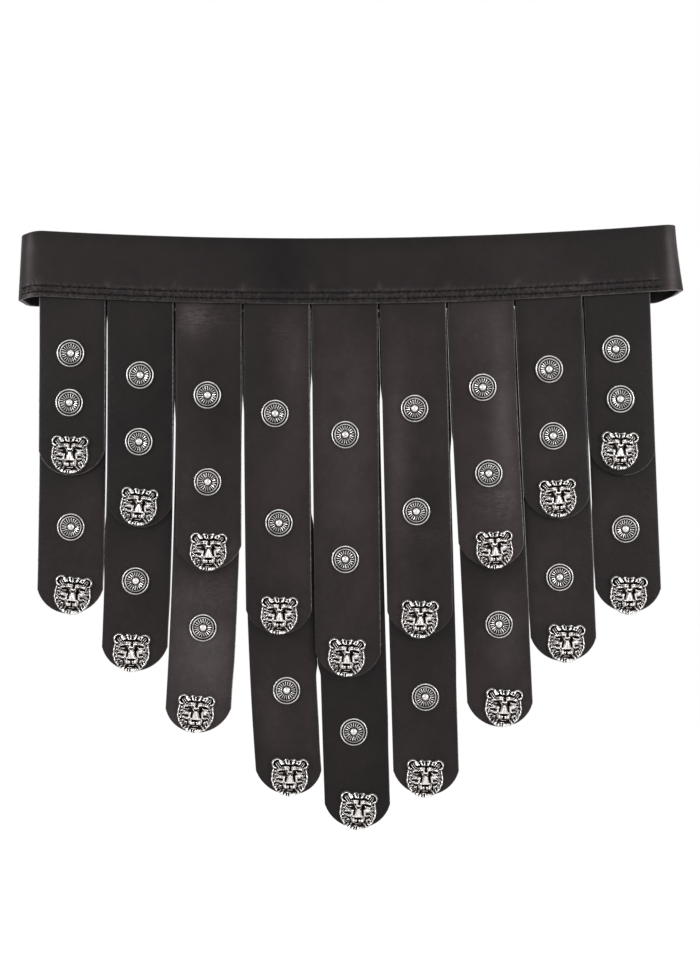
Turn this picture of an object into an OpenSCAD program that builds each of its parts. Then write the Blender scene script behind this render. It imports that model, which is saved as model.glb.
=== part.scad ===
// Leather apron belt: a wide waist band with nine columns of hanging strips.
// Each column is a short front strip over a longer rear strip. Both are sewn behind the
// band's lower edge, and both carry cast rosettes and a lion mask held by rivet caps.
// The band closes behind with a prong buckle. Millimetres. The front faces -Y, up is +Z,
// and the origin is the middle of the waist loop.

/* [Waist band] */
// Width of the flattened loop, end to end
loop_w = 493; // [470:1:540]
// Depth of the flattened loop, front face to rear face
loop_depth = 50; // [44:1:80]
// Outer radius of the bends at the loop's ends
corner_r = 12; // [8:0.5:13]
// Height of the band
band_h = 49; // [44:0.5:60]
// Thickness of the band's leather
band_t = 3.2; // [2.4:0.1:4]
// Radius of the bow that both edges of the band follow
bow_r = 3570; // [3000:10:6000]
// Place along the band where its bow hangs lowest
bow_x = -30; // [-50:1:50]

/* [Strips] */
// Bare end of the band left of the first column
left_room = 12.55; // [10:0.05:24]
// Bare end of the band right of the last column
right_room = 20.55; // [12:0.05:30]
// Space from one column of strips to the next
column_gap = 1.7; // [1.6:0.1:3]
// Thickness of the strips' leather
strip_t = 2.6; // [1.8:0.1:3.2]
// Radius of the rounded tips, as a share of half a strip's width
tip_round = 1.0445; // [1.02:0.0005:1.3]
// Free length of the longest rear strip. All lengths and places along the strips follow it
longest_drop = 394; // [300:1:450]
// Free lengths of the front strips below the band, from left to right, as they compare
front_drops = [133, 170, 200, 248, 280, 250, 200, 166, 136]; // [100:1:320]
// Free lengths of the rear strips below the band, from left to right, as they compare
rear_drops = [237, 278, 323, 369, 394, 370, 320, 273, 239]; // [200:1:450]
// Sideways drift of each front tip
front_sway = [-0.8, -0.8, 0, 2, 2.8, 6, 9, 7, 4.8]; // [-12:0.1:12]
// How a front drift grows: 1 leans evenly from the top, 3 bends near the tip
front_bend = [2, 2, 2, 2, 1.4, 1, 1.3, 1.2, 1]; // [1:0.1:3]
// Sideways drift of each rear tip
rear_sway = [-2.7, -5.5, -9.2, 10.4, 10.2, 10.7, 15.6, 12.2, 9.8]; // [-16:0.1:16]
// How a rear drift grows
rear_bend = [2, 2.2, 2.4, 3, 1.3, 1, 1, 1, 1]; // [1:0.1:3]
// Height of the sewn heads behind the band
head_h = 23; // [14:0.5:30]

/* [Hinge lines] */
// Depth of the space between a front strip and the rear strip behind it
layer_gap = 1.0; // [0.9:0.1:2]
// Drop of each column's hinge line below the band's lower edge
hinge_drop = 3.8; // [3.6:0.1:8]
// Clearance between the sewn heads and the strips that turn under them
hinge_clear = 0.3; // [0.2:0.05:0.6]
// Furthest that a strip lifts to the front, in degrees
lift = 75; // [60:1:80]

/* [Ornaments] */
// Diameter of a rosette
rosette_d = 20.6; // [16:0.1:26]
// Height of a rosette over the leather
rosette_h = 2.4; // [2:0.1:4]
// Width of a lion mask
lion_w = 28.6; // [22:0.1:34]
// Height of a lion mask, crown to chin
lion_h = 29.4; // [22:0.1:34]
// Thickness of a lion mask's rim
lion_rim = 1.4; // [1:0.1:2.5]
// Drops of the upper front rosettes below the band
front_rosette_a = [41.5, 55.7, 69.2, 82.3, 98.2, 79.3, 64.9, 53.5, 41.3]; // [30:0.1:120]
// Drops of the lower front rosettes below the band
front_rosette_b = [78.5, 105.6, 134.3, 164.3, 191.6, 156.5, 129.4, 103.5, 78.8]; // [60:0.1:220]
// Drops of the rear rosettes below the band
rear_rosette = [171.8, 210.2, 243.9, 290.3, 321.4, 296, 242.9, 209.6, 176.3]; // [150:0.1:360]
// Rise of each front lion's centre over its strip's tip
front_lion_up = [15.6, 15.7, 13.5, 14.6, 15, 13, 13.5, 15.9, 18.5]; // [12:0.1:24]
// Rise of each rear lion's centre over its strip's tip
rear_lion_up = [14.2, 14.2, 14.8, 13.8, 13.4, 13.2, 14.8, 14, 13.2]; // [12:0.1:24]
// Side offsets of the upper front rosettes, as they were set by hand
offset_a = [-0.9, 0, -0.7, -1.3, -0.2, -0.6, -0.8, -1.8, -2.6]; // [-4:0.1:4]
// Side offsets of the lower front rosettes
offset_b = [-1.7, -0.6, -0.5, 1, -1.2, -1.1, 0.7, -1, -0.5]; // [-4:0.1:4]
// Side offsets of the rear rosettes
offset_rear = [0, -0.9, 0.4, 2.4, -1, 1, 2, -1, -0.5]; // [-4:0.1:4]
// Side offsets of the front lions
offset_front_lion = [-1, -0.5, 0, 0.2, -1.3, -0.6, 1.9, 0.3, -2.6]; // [-4:0.1:4]
// Side offsets of the rear lions
offset_rear_lion = [2.2, -2.2, -1.6, 0.4, 0.2, -1.2, 2.2, 1.6, -0.4]; // [-4:0.1:4]
// Turns of the front lions, clockwise in degrees
turn_front_lion = [0, 4, 0, 0, 1, 0, -5, -6, 0]; // [-10:1:10]
// Turns of the rear lions, clockwise in degrees
turn_rear_lion = [5, 1, 3, 0, 3, 0, 2, 0, 0]; // [-10:1:10]

/* [Rivets] */
// Radius of the shank that passes through the leather
shank_r = 1.5; // [1:0.1:2.2]
// Clearance of the shank in its hole
shank_clear = 0.1; // [0.05:0.05:0.3]
// Radius of a rivet cap
cap_r = 4.5; // [3.5:0.1:6]
// Height of a rivet cap
cap_h = 0.7; // [0.5:0.05:0.8]

/* [Stitching] */
// Distance of the lower stitch row from the band's lower edge
row_a = 3.4; // [2:0.1:6]
// Distance of the upper stitch row from the band's lower edge
row_b = 8; // [7:0.1:14]
// Width of the thread
thread_w = 0.8; // [0.5:0.1:1.4]
// Height of the thread over the leather
thread_h = 0.35; // [0.2:0.05:0.5]
// Distance that the seams stop short of the right bend
seam_short = 6; // [2:1:20]

/* [Buckle] */
// Place of the heel bar along the rear run
bar_x = -12; // [-30:1:20]
// Radius of the frame's round bar
bar_r = 2.2; // [1.8:0.1:3]
// Distance from the heel bar to the far bar
frame_reach = 38; // [34:1:50]
// Clear height inside the frame over the band
frame_room = 1.5; // [1:0.1:4]
// Radius of the frame's corners, at the bar's middle
frame_corner_r = 5; // [3.5:0.1:8]
// Radius of the prong
prong_r = 1.5; // [1.2:0.1:2]
// Length of the prong past the far bar
prong_over = 4; // [2:0.5:8]
// Swing that the prong has in its hole, in degrees
prong_swing = 5; // [3:0.5:7]
// Distance from one tail hole to the next
hole_pitch = 25; // [22:1:32]
// Radius of a tail hole
hole_r = 2.5; // [2:0.1:3]
// Reach of the tail past the heel bar
tail_reach = 96; // [88:1:130]
// Length of the folded end that is sewn round the heel bar
fold_len = 34; // [28:1:40]
// Distance of the first stitch row from the fold's end
fold_row_a = 5; // [3:0.5:8]
// Distance of the second stitch row from the fold's end
fold_row_b = 11; // [9:0.5:16]
// Distance of both rows' ends from the band's edges
fold_row_end = 5; // [3:0.5:10]

/* [Keeper] */
// Width of the keeper loop
keeper_w = 12; // [8:0.5:16]
// Thickness of the keeper's leather
keeper_t = 1.8; // [1.2:0.1:2.4]
// Distance of the keeper's middle from the heel bar
keeper_back = 54; // [52:1:60]
// Slide that the keeper has each way
keeper_slide = 11; // [4:0.5:11]

/* [Hidden] */
columns = len(front_drops);
drop_scale = longest_drop / max(rear_drops);
front_len = drop_scale * front_drops;
rear_len = drop_scale * rear_drops;
column_pitch = (loop_w - left_room - right_room) / columns;
middle_x = (left_room - right_room) / 2;
strip_w = column_pitch - column_gap;
tip_r = tip_round * strip_w / 2;
numbers = [0 : columns - 1];
fit = 0.3;
tiny = 0.01;
shank_gap = 0.05;
ply_gap = 0.05;

// Faces and places of the layers, front to rear
face_y = -loop_depth / 2;
inner_y = face_y + band_t;
front_y = inner_y;
rear_y = front_y + strip_t + layer_gap;
stack_y = rear_y + strip_t;
hinge_y = (front_y + stack_y) / 2;
hinge_r = (stack_y - front_y) / 2;
straight = loop_w / 2 - corner_r;
corner_y = loop_depth / 2 - corner_r;

// Lower edge of the band at a place along it
function edge_z(x) = -band_h / 2 + bow_r - sqrt(pow(bow_r, 2) - pow(x - bow_x, 2));
function column_x(k) = middle_x + (k - (columns - 1) / 2) * column_pitch;
function nearest(x, low, high) = min(max(x, low), high);
// Hinge line of a column: below the lowest stretch of band over it
function hinge_z(k) =
    edge_z(nearest(bow_x, column_x(k) - strip_w / 2, column_x(k) + strip_w / 2)) - hinge_drop;

// Middle line of a strip at a drop below the band
function drift(length, sway, bend, drop) = sway * pow(max(drop, 0) / length, bend);
function front_x(k, drop) = column_x(k) + drift(front_len[k], front_sway[k], front_bend[k], drop);
function rear_x(k, drop) = column_x(k) + drift(rear_len[k], rear_sway[k], rear_bend[k], drop);

// Outline of a strip: two sides that follow its middle line, and an arc for the tip
tip_half = asin(strip_w / 2 / tip_r);
tip_sag = tip_r * (1 - cos(tip_half));
side_steps = 10;
tip_steps = 16;
function outline(length, sway, bend, start) =
    let (
        side = length - tip_sag,
        at = function (x, drop) [x + drift(length, sway, bend, drop), -drop],
        left = [for (i = [0 : side_steps]) at(-strip_w / 2, start + (side - start) * i / side_steps)],
        tip = [for (i = [1 : tip_steps - 1]) let (a = -tip_half + 2 * tip_half * i / tip_steps)
            at(tip_r * sin(a), length - tip_r * (1 - cos(a)))],
        right = [for (i = [side_steps : -1 : 0]) at(strip_w / 2, start + (side - start) * i / side_steps)]
    )
    concat(left, tip, right);

// A flat shape drawn in X and Z, given a thickness towards +Y from a depth
module plate(from_y, thick) {
    translate([0, from_y + thick, 0])
        rotate([90, 0, 0])
            linear_extrude(thick)
                children();
}

// A round bar along Y
module bar_y_axis(x, z, r, from_y, to_y, sides = 64) {
    translate([x, from_y, z])
        rotate([-90, 0, 0])
            cylinder(r = r, h = to_y - from_y, $fn = sides);
}

// Space between two edges that follow the bow, measured up from the band's lower edge
module bow_slice(low, high) {
    deep = 2 * loop_depth;
    difference() {
        bar_y_axis(bow_x, bow_r - band_h / 2, bow_r - low, -deep, deep, 2400);
        bar_y_axis(bow_x, bow_r - band_h / 2, bow_r - high, -deep - 1, deep + 1, 2400);
    }
}

// Buckle places: the heel bar lies in the fold, and the tail runs under the far bar
rear_face = loop_depth / 2;
rear_inner = rear_face - band_t;
bar_clear = 0.1;
bar_y = rear_inner - bar_r - bar_clear;
far_y = rear_face + fit + bar_r;
frame_tilt = asin((far_y - bar_y) / frame_reach);
prong_tilt = frame_tilt + asin((bar_r + prong_r + fit) / frame_reach);
// Centre line of the tail where it climbs through the frame
climb = band_t + fit;
climb_r = 5;
climb_angle = acos(1 - climb / (2 * climb_r));
climb_half = climb_r * sin(climb_angle);
climb_y = rear_face - band_t / 2 + climb / 2;
cross = (climb_y - bar_y) / sin(prong_tilt);
climb_x = bar_x + cross * cos(prong_tilt);
tail_y = rear_face + fit;
tail_end = bar_x - tail_reach;

// Points along an arc in plan, from one direction to another
function plan_arc(centre, r, from, to, steps) =
    [for (i = [0 : steps]) let (a = from + (to - from) * i / steps) centre + r * [cos(a), sin(a)]];

// Sideways step of a ribbon at one point of its middle line, square to the line or on the mitre
function unit(v) = v / norm(v);
function side_step(path, i, half) =
    let (
        last = len(path) - 1,
        before = unit(path[max(i, 1)] - path[max(i, 1) - 1]),
        after = unit(path[min(i, last - 1) + 1] - path[min(i, last - 1)]),
        way = unit(before + after)
    )
    [-way[1], way[0]] * half / (way * after);
function ribbon(path, thick) =
    let (last = len(path) - 1)
    concat(
        [for (i = [0 : last]) path[i] + side_step(path, i, thick / 2)],
        [for (i = [last : -1 : 0]) path[i] - side_step(path, i, thick / 2)]
    );

// Middle line of the band in plan: fold, rear run, end, front run, end, rear run, climb and tail
fold_y = rear_inner - 2 * bar_clear - band_t / 2;
rear_mid = rear_face - band_t / 2;
tail_mid = tail_y + band_t / 2;
band_line = concat(
    [[bar_x - fold_len, fold_y], [bar_x - fold_len / 2, fold_y]],
    plan_arc([bar_x, bar_y], bar_r + bar_clear + band_t / 2, -90, 90, 16),
    plan_arc([-straight, corner_y], corner_r - band_t / 2, 90, 180, 16),
    plan_arc([-straight, -corner_y], corner_r - band_t / 2, 180, 270, 16),
    plan_arc([straight, -corner_y], corner_r - band_t / 2, -90, 0, 16),
    plan_arc([straight, corner_y], corner_r - band_t / 2, 0, 90, 16),
    plan_arc([climb_x + climb_half, rear_mid + climb_r], climb_r, 270, 270 - climb_angle, 5),
    [for (p = plan_arc([climb_x - climb_half, tail_mid - climb_r], climb_r,
        90 - climb_angle, 90, 5)) if (p[0] < climb_x - tiny) p],
    [[tail_end, tail_mid]]
);

// Holes through the tail, free for a stranger's stud or for another prong place
tail_holes = [for (i = [-2, -1]) climb_x + i * hole_pitch];
run_holes = [for (i = [2, 3]) climb_x + i * hole_pitch];

// What is cut away past the tail's rounded tip
module tip_waste() {
    tip = 0.6 * band_h;
    sag = tip - sqrt(pow(tip, 2) - pow(band_h / 2, 2));
    mid_z = edge_z(tail_end + sag) + band_h / 2;
    difference() {
        translate([tail_end - 1, tail_y - fit / 2, -band_h])
            cube([sag + 1, band_t + 1, 2 * band_h]);
        bar_y_axis(tail_end + tip, mid_z, tip, tail_y - 1, tail_y + band_t + 2, 160);
    }
}

// Oblong hole that the prong passes through and swings in
module prong_slot() {
    room = prong_r + 0.5;
    reach = cross + 8;
    half = room + reach * sin(prong_swing / 2);
    translate([bar_x, bar_y, 0])
        rotate([0, 0, prong_tilt + prong_swing / 2])
            translate([0, -half, -room])
                cube([reach, 2 * half, 2 * room]);
}

module waist_band() {
    slot = 9;
    color("#2c282a")
        difference() {
            intersection() {
                translate([0, 0, -band_h])
                    linear_extrude(2 * band_h)
                        polygon(ribbon(band_line, band_t));
                bow_slice(0, band_h);
            }
            for (x = tail_holes)
                bar_y_axis(x, 0, hole_r, tail_y - fit / 2, tail_y + band_t + 1);
            for (x = run_holes)
                bar_y_axis(x, 0, hole_r, rear_inner - 1, rear_face + 1);
            prong_slot();
            translate([bar_x - slot, bar_y - slot, -slot / 2])
                cube([2 * slot, slot + rear_face - bar_y + fit / 2, slot]);
            tip_waste();
        }
}

// Space that a column turns in, cut from the sewn heads: round about the hinge line, and
// flat where the front strip reaches when it is fully lifted
module turning_space(k) {
    reach = hinge_r + hinge_clear;
    translate([column_x(k) - strip_w, hinge_y, hinge_z(k)]) {
        rotate([0, 90, 0])
            cylinder(r = reach, h = 2 * strip_w, $fn = 64);
        rotate([-lift, 0, 0])
            translate([0, -reach, -4 * hinge_r])
                cube([2 * strip_w, reach, 4 * hinge_r]);
    }
}

// One layer of sewn head, standing behind the band over its strip
module sewn_head(k, from_y) {
    difference() {
        translate([column_x(k) - strip_w / 2, from_y, hinge_z(k)])
            cube([strip_w, strip_t, hinge_drop + head_h]);
        turning_space(k);
    }
}

module strip_heads() {
    color("#322d2f")
        for (k = numbers) {
            sewn_head(k, front_y);
            sewn_head(k, front_y + strip_t + ply_gap);
        }
}

// Plan of a thread laid on the band's front face, and on round the start of its left bend
module thread_plan() {
    translate([-straight, face_y - thread_h])
        square([2 * straight - seam_short, thread_h]);
    intersection() {
        translate([-straight, -corner_y])
            difference() {
                circle(r = corner_r + thread_h, $fn = 160);
                circle(r = corner_r, $fn = 160);
            }
        translate([-loop_w / 2 + 0.3 * corner_r, face_y - thread_h])
            square([0.7 * corner_r, corner_r]);
    }
}

// Threads of the two seams, on the band's face and behind the heads, and of the fold
module seam_threads() {
    back_y = front_y + 2 * strip_t + ply_gap;
    color("#171517") {
        for (row = [row_a, row_b])
            intersection() {
                bow_slice(row - thread_w / 2, row + thread_w / 2);
                translate([0, 0, -band_h])
                    linear_extrude(2 * band_h)
                        union() {
                            thread_plan();
                            for (k = numbers)
                                translate([column_x(k) - strip_w / 2, back_y])
                                    square([strip_w, thread_h]);
                        }
            }
        for (row_x = [fold_row_a, fold_row_b])
            translate([bar_x - fold_len + row_x, rear_inner - 2 * bar_clear - band_t - thread_h,
                fold_row_end - band_h / 2])
                cube([thread_w, thread_h, band_h - 2 * fold_row_end]);
    }
}

// Hanging leather of one strip. Its top is round about the column's hinge line, and a
// right-angled notch over that line keeps the two layers apart as they turn.
module hanging_strip(k, from_y, length, sway, bend, holes) {
    mid_x = column_x(k);
    top = edge_z(mid_x) - hinge_z(k) - 2 * hinge_r;
    difference() {
        translate([mid_x, 0, edge_z(mid_x)])
            plate(from_y, strip_t)
                polygon(outline(length, sway, bend, top));
        translate([mid_x - strip_w, hinge_y, hinge_z(k)])
            rotate([0, 90, 0])
                difference() {
                    translate([-4 * hinge_r, -2 * hinge_r, 0])
                        cube([4 * hinge_r, 4 * hinge_r, 2 * strip_w]);
                    translate([0, 0, -1])
                        cylinder(r = hinge_r, h = 2 * strip_w + 2, $fn = 64);
                }
        translate([mid_x - strip_w, hinge_y, hinge_z(k)])
            rotate([45, 0, 0])
                cube([2 * strip_w, 4 * hinge_r, 4 * hinge_r]);
        for (p = holes)
            bar_y_axis(p[0], p[1], shank_r + shank_clear, from_y - 1, from_y + strip_t + 1, 48);
    }
}

// Places of the ornaments of column k, as X and Z
function place(x, k, drop) = [x, edge_z(column_x(k)) - drop];
function front_a(k) = let (drop = drop_scale * front_rosette_a[k])
    place(front_x(k, drop) + offset_a[k], k, drop);
function front_b(k) = let (drop = drop_scale * front_rosette_b[k])
    place(front_x(k, drop) + offset_b[k], k, drop);
function rear_a(k) = let (drop = drop_scale * rear_rosette[k])
    place(rear_x(k, drop) + offset_rear[k], k, drop);
function front_mask(k) = let (drop = front_len[k] - front_lion_up[k])
    place(front_x(k, drop) + offset_front_lion[k], k, drop);
function rear_mask(k) = let (drop = rear_len[k] - rear_lion_up[k])
    place(rear_x(k, drop) + offset_rear_lion[k], k, drop);

module front_strip(k) {
    color("#322d2f")
        hanging_strip(k, front_y, front_len[k], front_sway[k], front_bend[k],
            [front_a(k), front_b(k), front_mask(k)]);
}

module rear_strip(k) {
    color("#2e2a2c")
        hanging_strip(k, rear_y, rear_len[k], rear_sway[k], rear_bend[k],
            [rear_a(k), rear_mask(k)]);
}

// Domed cap behind the leather, with the shank's end against it
module rivet_cap() {
    dome = (pow(cap_r, 2) + pow(cap_h, 2)) / (2 * cap_h);
    intersection() {
        translate([0, 0, dome - cap_h])
            sphere(r = dome, $fn = 160);
        translate([0, 0, -cap_h])
            cylinder(r = cap_r, h = cap_h, $fn = 64);
    }
}

// Points of an arc in a profile, from one direction to another
function arc(cx, cy, r, from, to, steps) =
    [for (i = [0 : steps]) let (a = from + (to - from) * i / steps) [cx + r * cos(a), cy + r * sin(a)]];

// Face of a rosette: boss, dished field, raised ring, groove and round rim
module rosette_face() {
    outer = rosette_d / 2;
    rim = 0.07 * outer;
    boss = 0.27 * outer;
    ring = 0.76 * outer;
    ring_w = 0.06 * outer;
    low = 0.42 * rosette_h;
    high = 0.68 * rosette_h;
    rim_y = rosette_h - rim;
    rotate_extrude($fn = 96)
        polygon(concat(
            [[0, 0]],
            [[outer - 0.3 * rim, 0]],
            arc(outer - rim, rim_y, rim, 0, 180, 8),
            [[outer - 2 * rim, low], [ring + ring_w, low], [ring + ring_w, high], [ring, high],
                [ring, high * 0.85], [boss * 1.5, low], [boss, low]],
            arc(0, rosette_h - boss * 0.8, boss, 10, 90, 6)
        ));
}

// Places a piece drawn flat, back at zero and face up, on the front of a layer
module on_layer(p, from_y, turn = 0) {
    translate([p[0], from_y, p[1]])
        rotate([90, 0, 0])
            rotate([0, 0, -turn])
                children();
}

// Shank through the leather, a hair short of the cap that closes it
module shank() {
    translate([0, 0, shank_gap - strip_t])
        cylinder(r = shank_r, h = strip_t - shank_gap + tiny, $fn = 48);
}

module rosette(p, from_y) {
    color("#b9b6b3") {
        on_layer(p, from_y) {
            union() {
                rosette_face();
                shank();
            }
        }
        on_layer(p, from_y)
            translate([0, 0, -strip_t])
                rivet_cap();
    }
}

// Relief of a lion mask in polar steps: outline with two ears, and a height over the leather
mask_sectors = 36;
mask_rings = 7;
function hill(x, z, cx, cz, wx, wz) = exp(-pow((x - cx) / wx, 2) - pow((z - cz) / wz, 2));
function pair(x, z, cx, cz, wx, wz) = hill(abs(x), z, cx, cz, wx, wz);
// All mask features are in tenths of the mask's half width and half height
function skull_r(c, s) = s >= 0
    ? pow(pow(abs(c) / 9.5, 2.3) + pow(abs(s) / 9.2, 2.3), -1 / 2.3)
    : pow(pow(abs(c) / 9.9, 2) + pow(abs(s) / 10, 2), -1 / 2);
ear = [7.1, 6.8];
ear_r = 3.2;
function ear_reach(c, s) =
    let (along = abs(c) * ear[0] + s * ear[1], left = pow(ear_r, 2) - (ear * ear - pow(along, 2)))
    left > 0 ? along + sqrt(left) : 0;
function mask_r(a) = max(skull_r(cos(a), sin(a)), ear_reach(cos(a), sin(a)));
function mask_height(x, z, part) =
    lion_rim + 2.1 * (1 - pow(part, 2.4))
    + 1.5 * hill(x, z, 0, -0.5, 2.0, 4.2)
    + 1.3 * pair(x, z, 2.8, -4.3, 1.9, 1.7)
    + 1.0 * pair(x, z, 5.2, 0.6, 1.7, 1.5)
    + 1.0 * pair(x, z, 3.4, 4.6, 2.6, 0.9)
    - 1.2 * pair(x, z, 3.2, 2.4, 1.6, 0.9)
    - 0.9 * pair(x, z, 7.3, 6.6, 1.3, 1.3)
    - 1.0 * hill(x, z, 0, -6.6, 2.6, 0.8);
mask_points = concat(
    [[0, 0, mask_height(0, 0, 0)]],
    [for (i = [1 : mask_rings]) for (j = [0 : mask_sectors - 1])
        let (a = 90 + j * 360 / mask_sectors, r = mask_r(a) * i / mask_rings,
            x = r * cos(a), z = r * sin(a))
        [x * lion_w / 20, z * lion_h / 20, mask_height(x, z, i / mask_rings)]],
    [for (j = [0 : mask_sectors - 1])
        let (a = 90 + j * 360 / mask_sectors, r = mask_r(a))
        [r * cos(a) * lion_w / 20, r * sin(a) * lion_h / 20, 0]]
);
function ring_at(i, j) = 1 + (i - 1) * mask_sectors + (j % mask_sectors);
mask_faces = concat(
    [for (j = [0 : mask_sectors - 1]) [ring_at(1, j + 1), ring_at(1, j), 0]],
    [for (i = [1 : mask_rings]) for (j = [0 : mask_sectors - 1])
        each [[ring_at(i, j), ring_at(i, j + 1), ring_at(i + 1, j + 1)],
            [ring_at(i, j), ring_at(i + 1, j + 1), ring_at(i + 1, j)]]],
    [for (j = [1 : mask_sectors - 2])
        [ring_at(mask_rings + 1, 0), ring_at(mask_rings + 1, j), ring_at(mask_rings + 1, j + 1)]]
);

module lion(p, from_y, turn) {
    color("#c4c1be")
        on_layer(p, from_y, turn) {
            union() {
                polyhedron(points = mask_points, faces = mask_faces, convexity = 6);
                shank();
            }
            translate([0, 0, -strip_t])
                rivet_cap();
        }
}

// Buckle: a round-bar frame that tilts out over the tail, turned about its heel bar
frame_half = band_h / 2 + frame_room + bar_r;
module frame_corner(u, side_u, side_z) {
    translate([u - side_u * frame_corner_r, 0, side_z * (frame_half - frame_corner_r)])
        rotate([90, 0, 0])
            rotate([0, 0, side_u > 0 ? (side_z > 0 ? 0 : 270) : (side_z > 0 ? 90 : 180)])
                rotate_extrude(angle = 90, $fn = 96)
                    translate([frame_corner_r, 0])
                        circle(r = bar_r, $fn = 48);
}

module buckle_frame() {
    upright = frame_half - frame_corner_r;
    color("#8f8c88")
        translate([bar_x, bar_y, 0])
            rotate([0, 0, frame_tilt]) {
                for (u = [0, frame_reach])
                    translate([u, 0, -upright])
                        cylinder(r = bar_r, h = 2 * upright, $fn = 48);
                for (z = [-frame_half, frame_half])
                    translate([frame_corner_r, 0, z])
                        rotate([0, 90, 0])
                            cylinder(r = bar_r, h = frame_reach - 2 * frame_corner_r, $fn = 48);
                for (z = [-1, 1]) {
                    frame_corner(0, -1, z);
                    frame_corner(frame_reach, 1, z);
                }
            }
}

module buckle_prong() {
    eye_h = 5;
    running = 0.05;
    color("#9a9793")
        translate([bar_x, bar_y, 0])
            difference() {
                union() {
                    translate([0, 0, -eye_h / 2])
                        cylinder(r = bar_r + 1.9, h = eye_h, $fn = 64);
                    rotate([0, 90, prong_tilt])
                        cylinder(r = prong_r, h = frame_reach + prong_over, $fn = 48);
                    rotate([0, 0, prong_tilt])
                        translate([frame_reach + prong_over, 0, 0])
                            sphere(r = prong_r, $fn = 48);
                }
                translate([0, 0, -eye_h])
                    cylinder(r = bar_r + running, h = 2 * eye_h, $fn = 64);
            }
}

module keeper_loop() {
    low = edge_z(bow_x) - fit;
    high = edge_z(bar_x - keeper_back - keeper_slide - keeper_w / 2) + band_h + fit;
    in_y = rear_inner - fit;
    out_y = tail_y + band_t + fit;
    color("#2c282a")
        translate([bar_x - keeper_back - keeper_w / 2, 0, 0])
            difference() {
                translate([0, in_y - keeper_t, low - keeper_t])
                    cube([keeper_w, out_y - in_y + 2 * keeper_t, high - low + 2 * keeper_t]);
                translate([-1, in_y, low])
                    cube([keeper_w + 2, out_y - in_y, high - low]);
            }
}

waist_band();
strip_heads();
seam_threads();
buckle_frame();
buckle_prong();
keeper_loop();
for (k = numbers) {
    front_strip(k);
    union() {
        rosette(front_a(k), front_y);
        rosette(front_b(k), front_y);
    }
    lion(front_mask(k), front_y, turn_front_lion[k]);
    rear_strip(k);
    rosette(rear_a(k), rear_y);
    lion(rear_mask(k), rear_y, turn_rear_lion[k]);
}
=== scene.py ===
"""Leather apron belt: nine columns of hanging strips under a waist band, with cast rosettes and lion masks.

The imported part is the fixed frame. Everything is in metres, the front faces -Y and up is +Z.
"""
import math

import bpy
import numpy as np
from bpy.props import FloatProperty, FloatVectorProperty, IntProperty, PointerProperty
from bpy.types import Operator, Panel, PropertyGroup
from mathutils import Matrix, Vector


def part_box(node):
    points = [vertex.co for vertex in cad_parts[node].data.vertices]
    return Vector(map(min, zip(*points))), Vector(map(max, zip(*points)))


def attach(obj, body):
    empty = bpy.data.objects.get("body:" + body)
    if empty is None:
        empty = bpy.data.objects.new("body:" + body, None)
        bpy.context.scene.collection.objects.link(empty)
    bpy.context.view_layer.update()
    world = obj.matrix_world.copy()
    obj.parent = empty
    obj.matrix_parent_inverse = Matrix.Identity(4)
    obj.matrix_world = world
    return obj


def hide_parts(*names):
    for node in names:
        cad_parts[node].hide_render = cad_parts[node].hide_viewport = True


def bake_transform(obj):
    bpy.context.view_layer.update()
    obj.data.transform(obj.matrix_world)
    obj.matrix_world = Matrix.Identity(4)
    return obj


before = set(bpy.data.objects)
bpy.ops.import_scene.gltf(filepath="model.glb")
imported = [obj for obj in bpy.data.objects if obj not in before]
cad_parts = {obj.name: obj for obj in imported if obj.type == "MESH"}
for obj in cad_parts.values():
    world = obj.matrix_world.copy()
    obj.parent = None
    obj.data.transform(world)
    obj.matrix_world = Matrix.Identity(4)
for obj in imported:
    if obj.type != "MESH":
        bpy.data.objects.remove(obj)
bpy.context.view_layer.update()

bl_info = {
    "name": "Leather apron belt",
    "version": (1, 0, 0),
    "blender": (4, 5, 0),
    "location": "View3D > Sidebar > Apron belt",
    "description": "Dresses the belt's solids in worn leather, stitching, cast rosettes and lion masks",
    "category": "Object",
}

MM = 0.001
COLUMNS = 9

# The band's bow: both edges are arcs about one point over the band's lowest place.
BOW_R = 3.570
BOW_X = -0.030
BAND_H = 0.049
BAND_T = 0.0032
LOOP_W = 0.493
LOOP_DEPTH = 0.050
CORNER_R = 0.012

# Layers, from front to rear, as the places of their front faces.
FRONT_Y = -LOOP_DEPTH / 2 + BAND_T
STRIP_T = 0.0026
LAYER_GAP = 0.001
REAR_Y = FRONT_Y + STRIP_T + LAYER_GAP
HEAD_Y = FRONT_Y + STRIP_T + 0.00005
# Heights: the hinge line under the band, the sewn heads over the band's lower edge, and over the hinge
# line the rear strips' tops, low enough to turn behind the front strips, and the heads' lower edges.
HINGE_DROP = 0.0038
HEAD_H = 0.023
TOP_OVER = 0.0007
HEAD_OVER = 0.0034
SEAM_ROWS = (0.0034, 0.0080)

STRIP_W = 0.0494
PITCH = 0.0511
MIDDLE_X = -0.004
TIP_R = 0.0258
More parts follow.
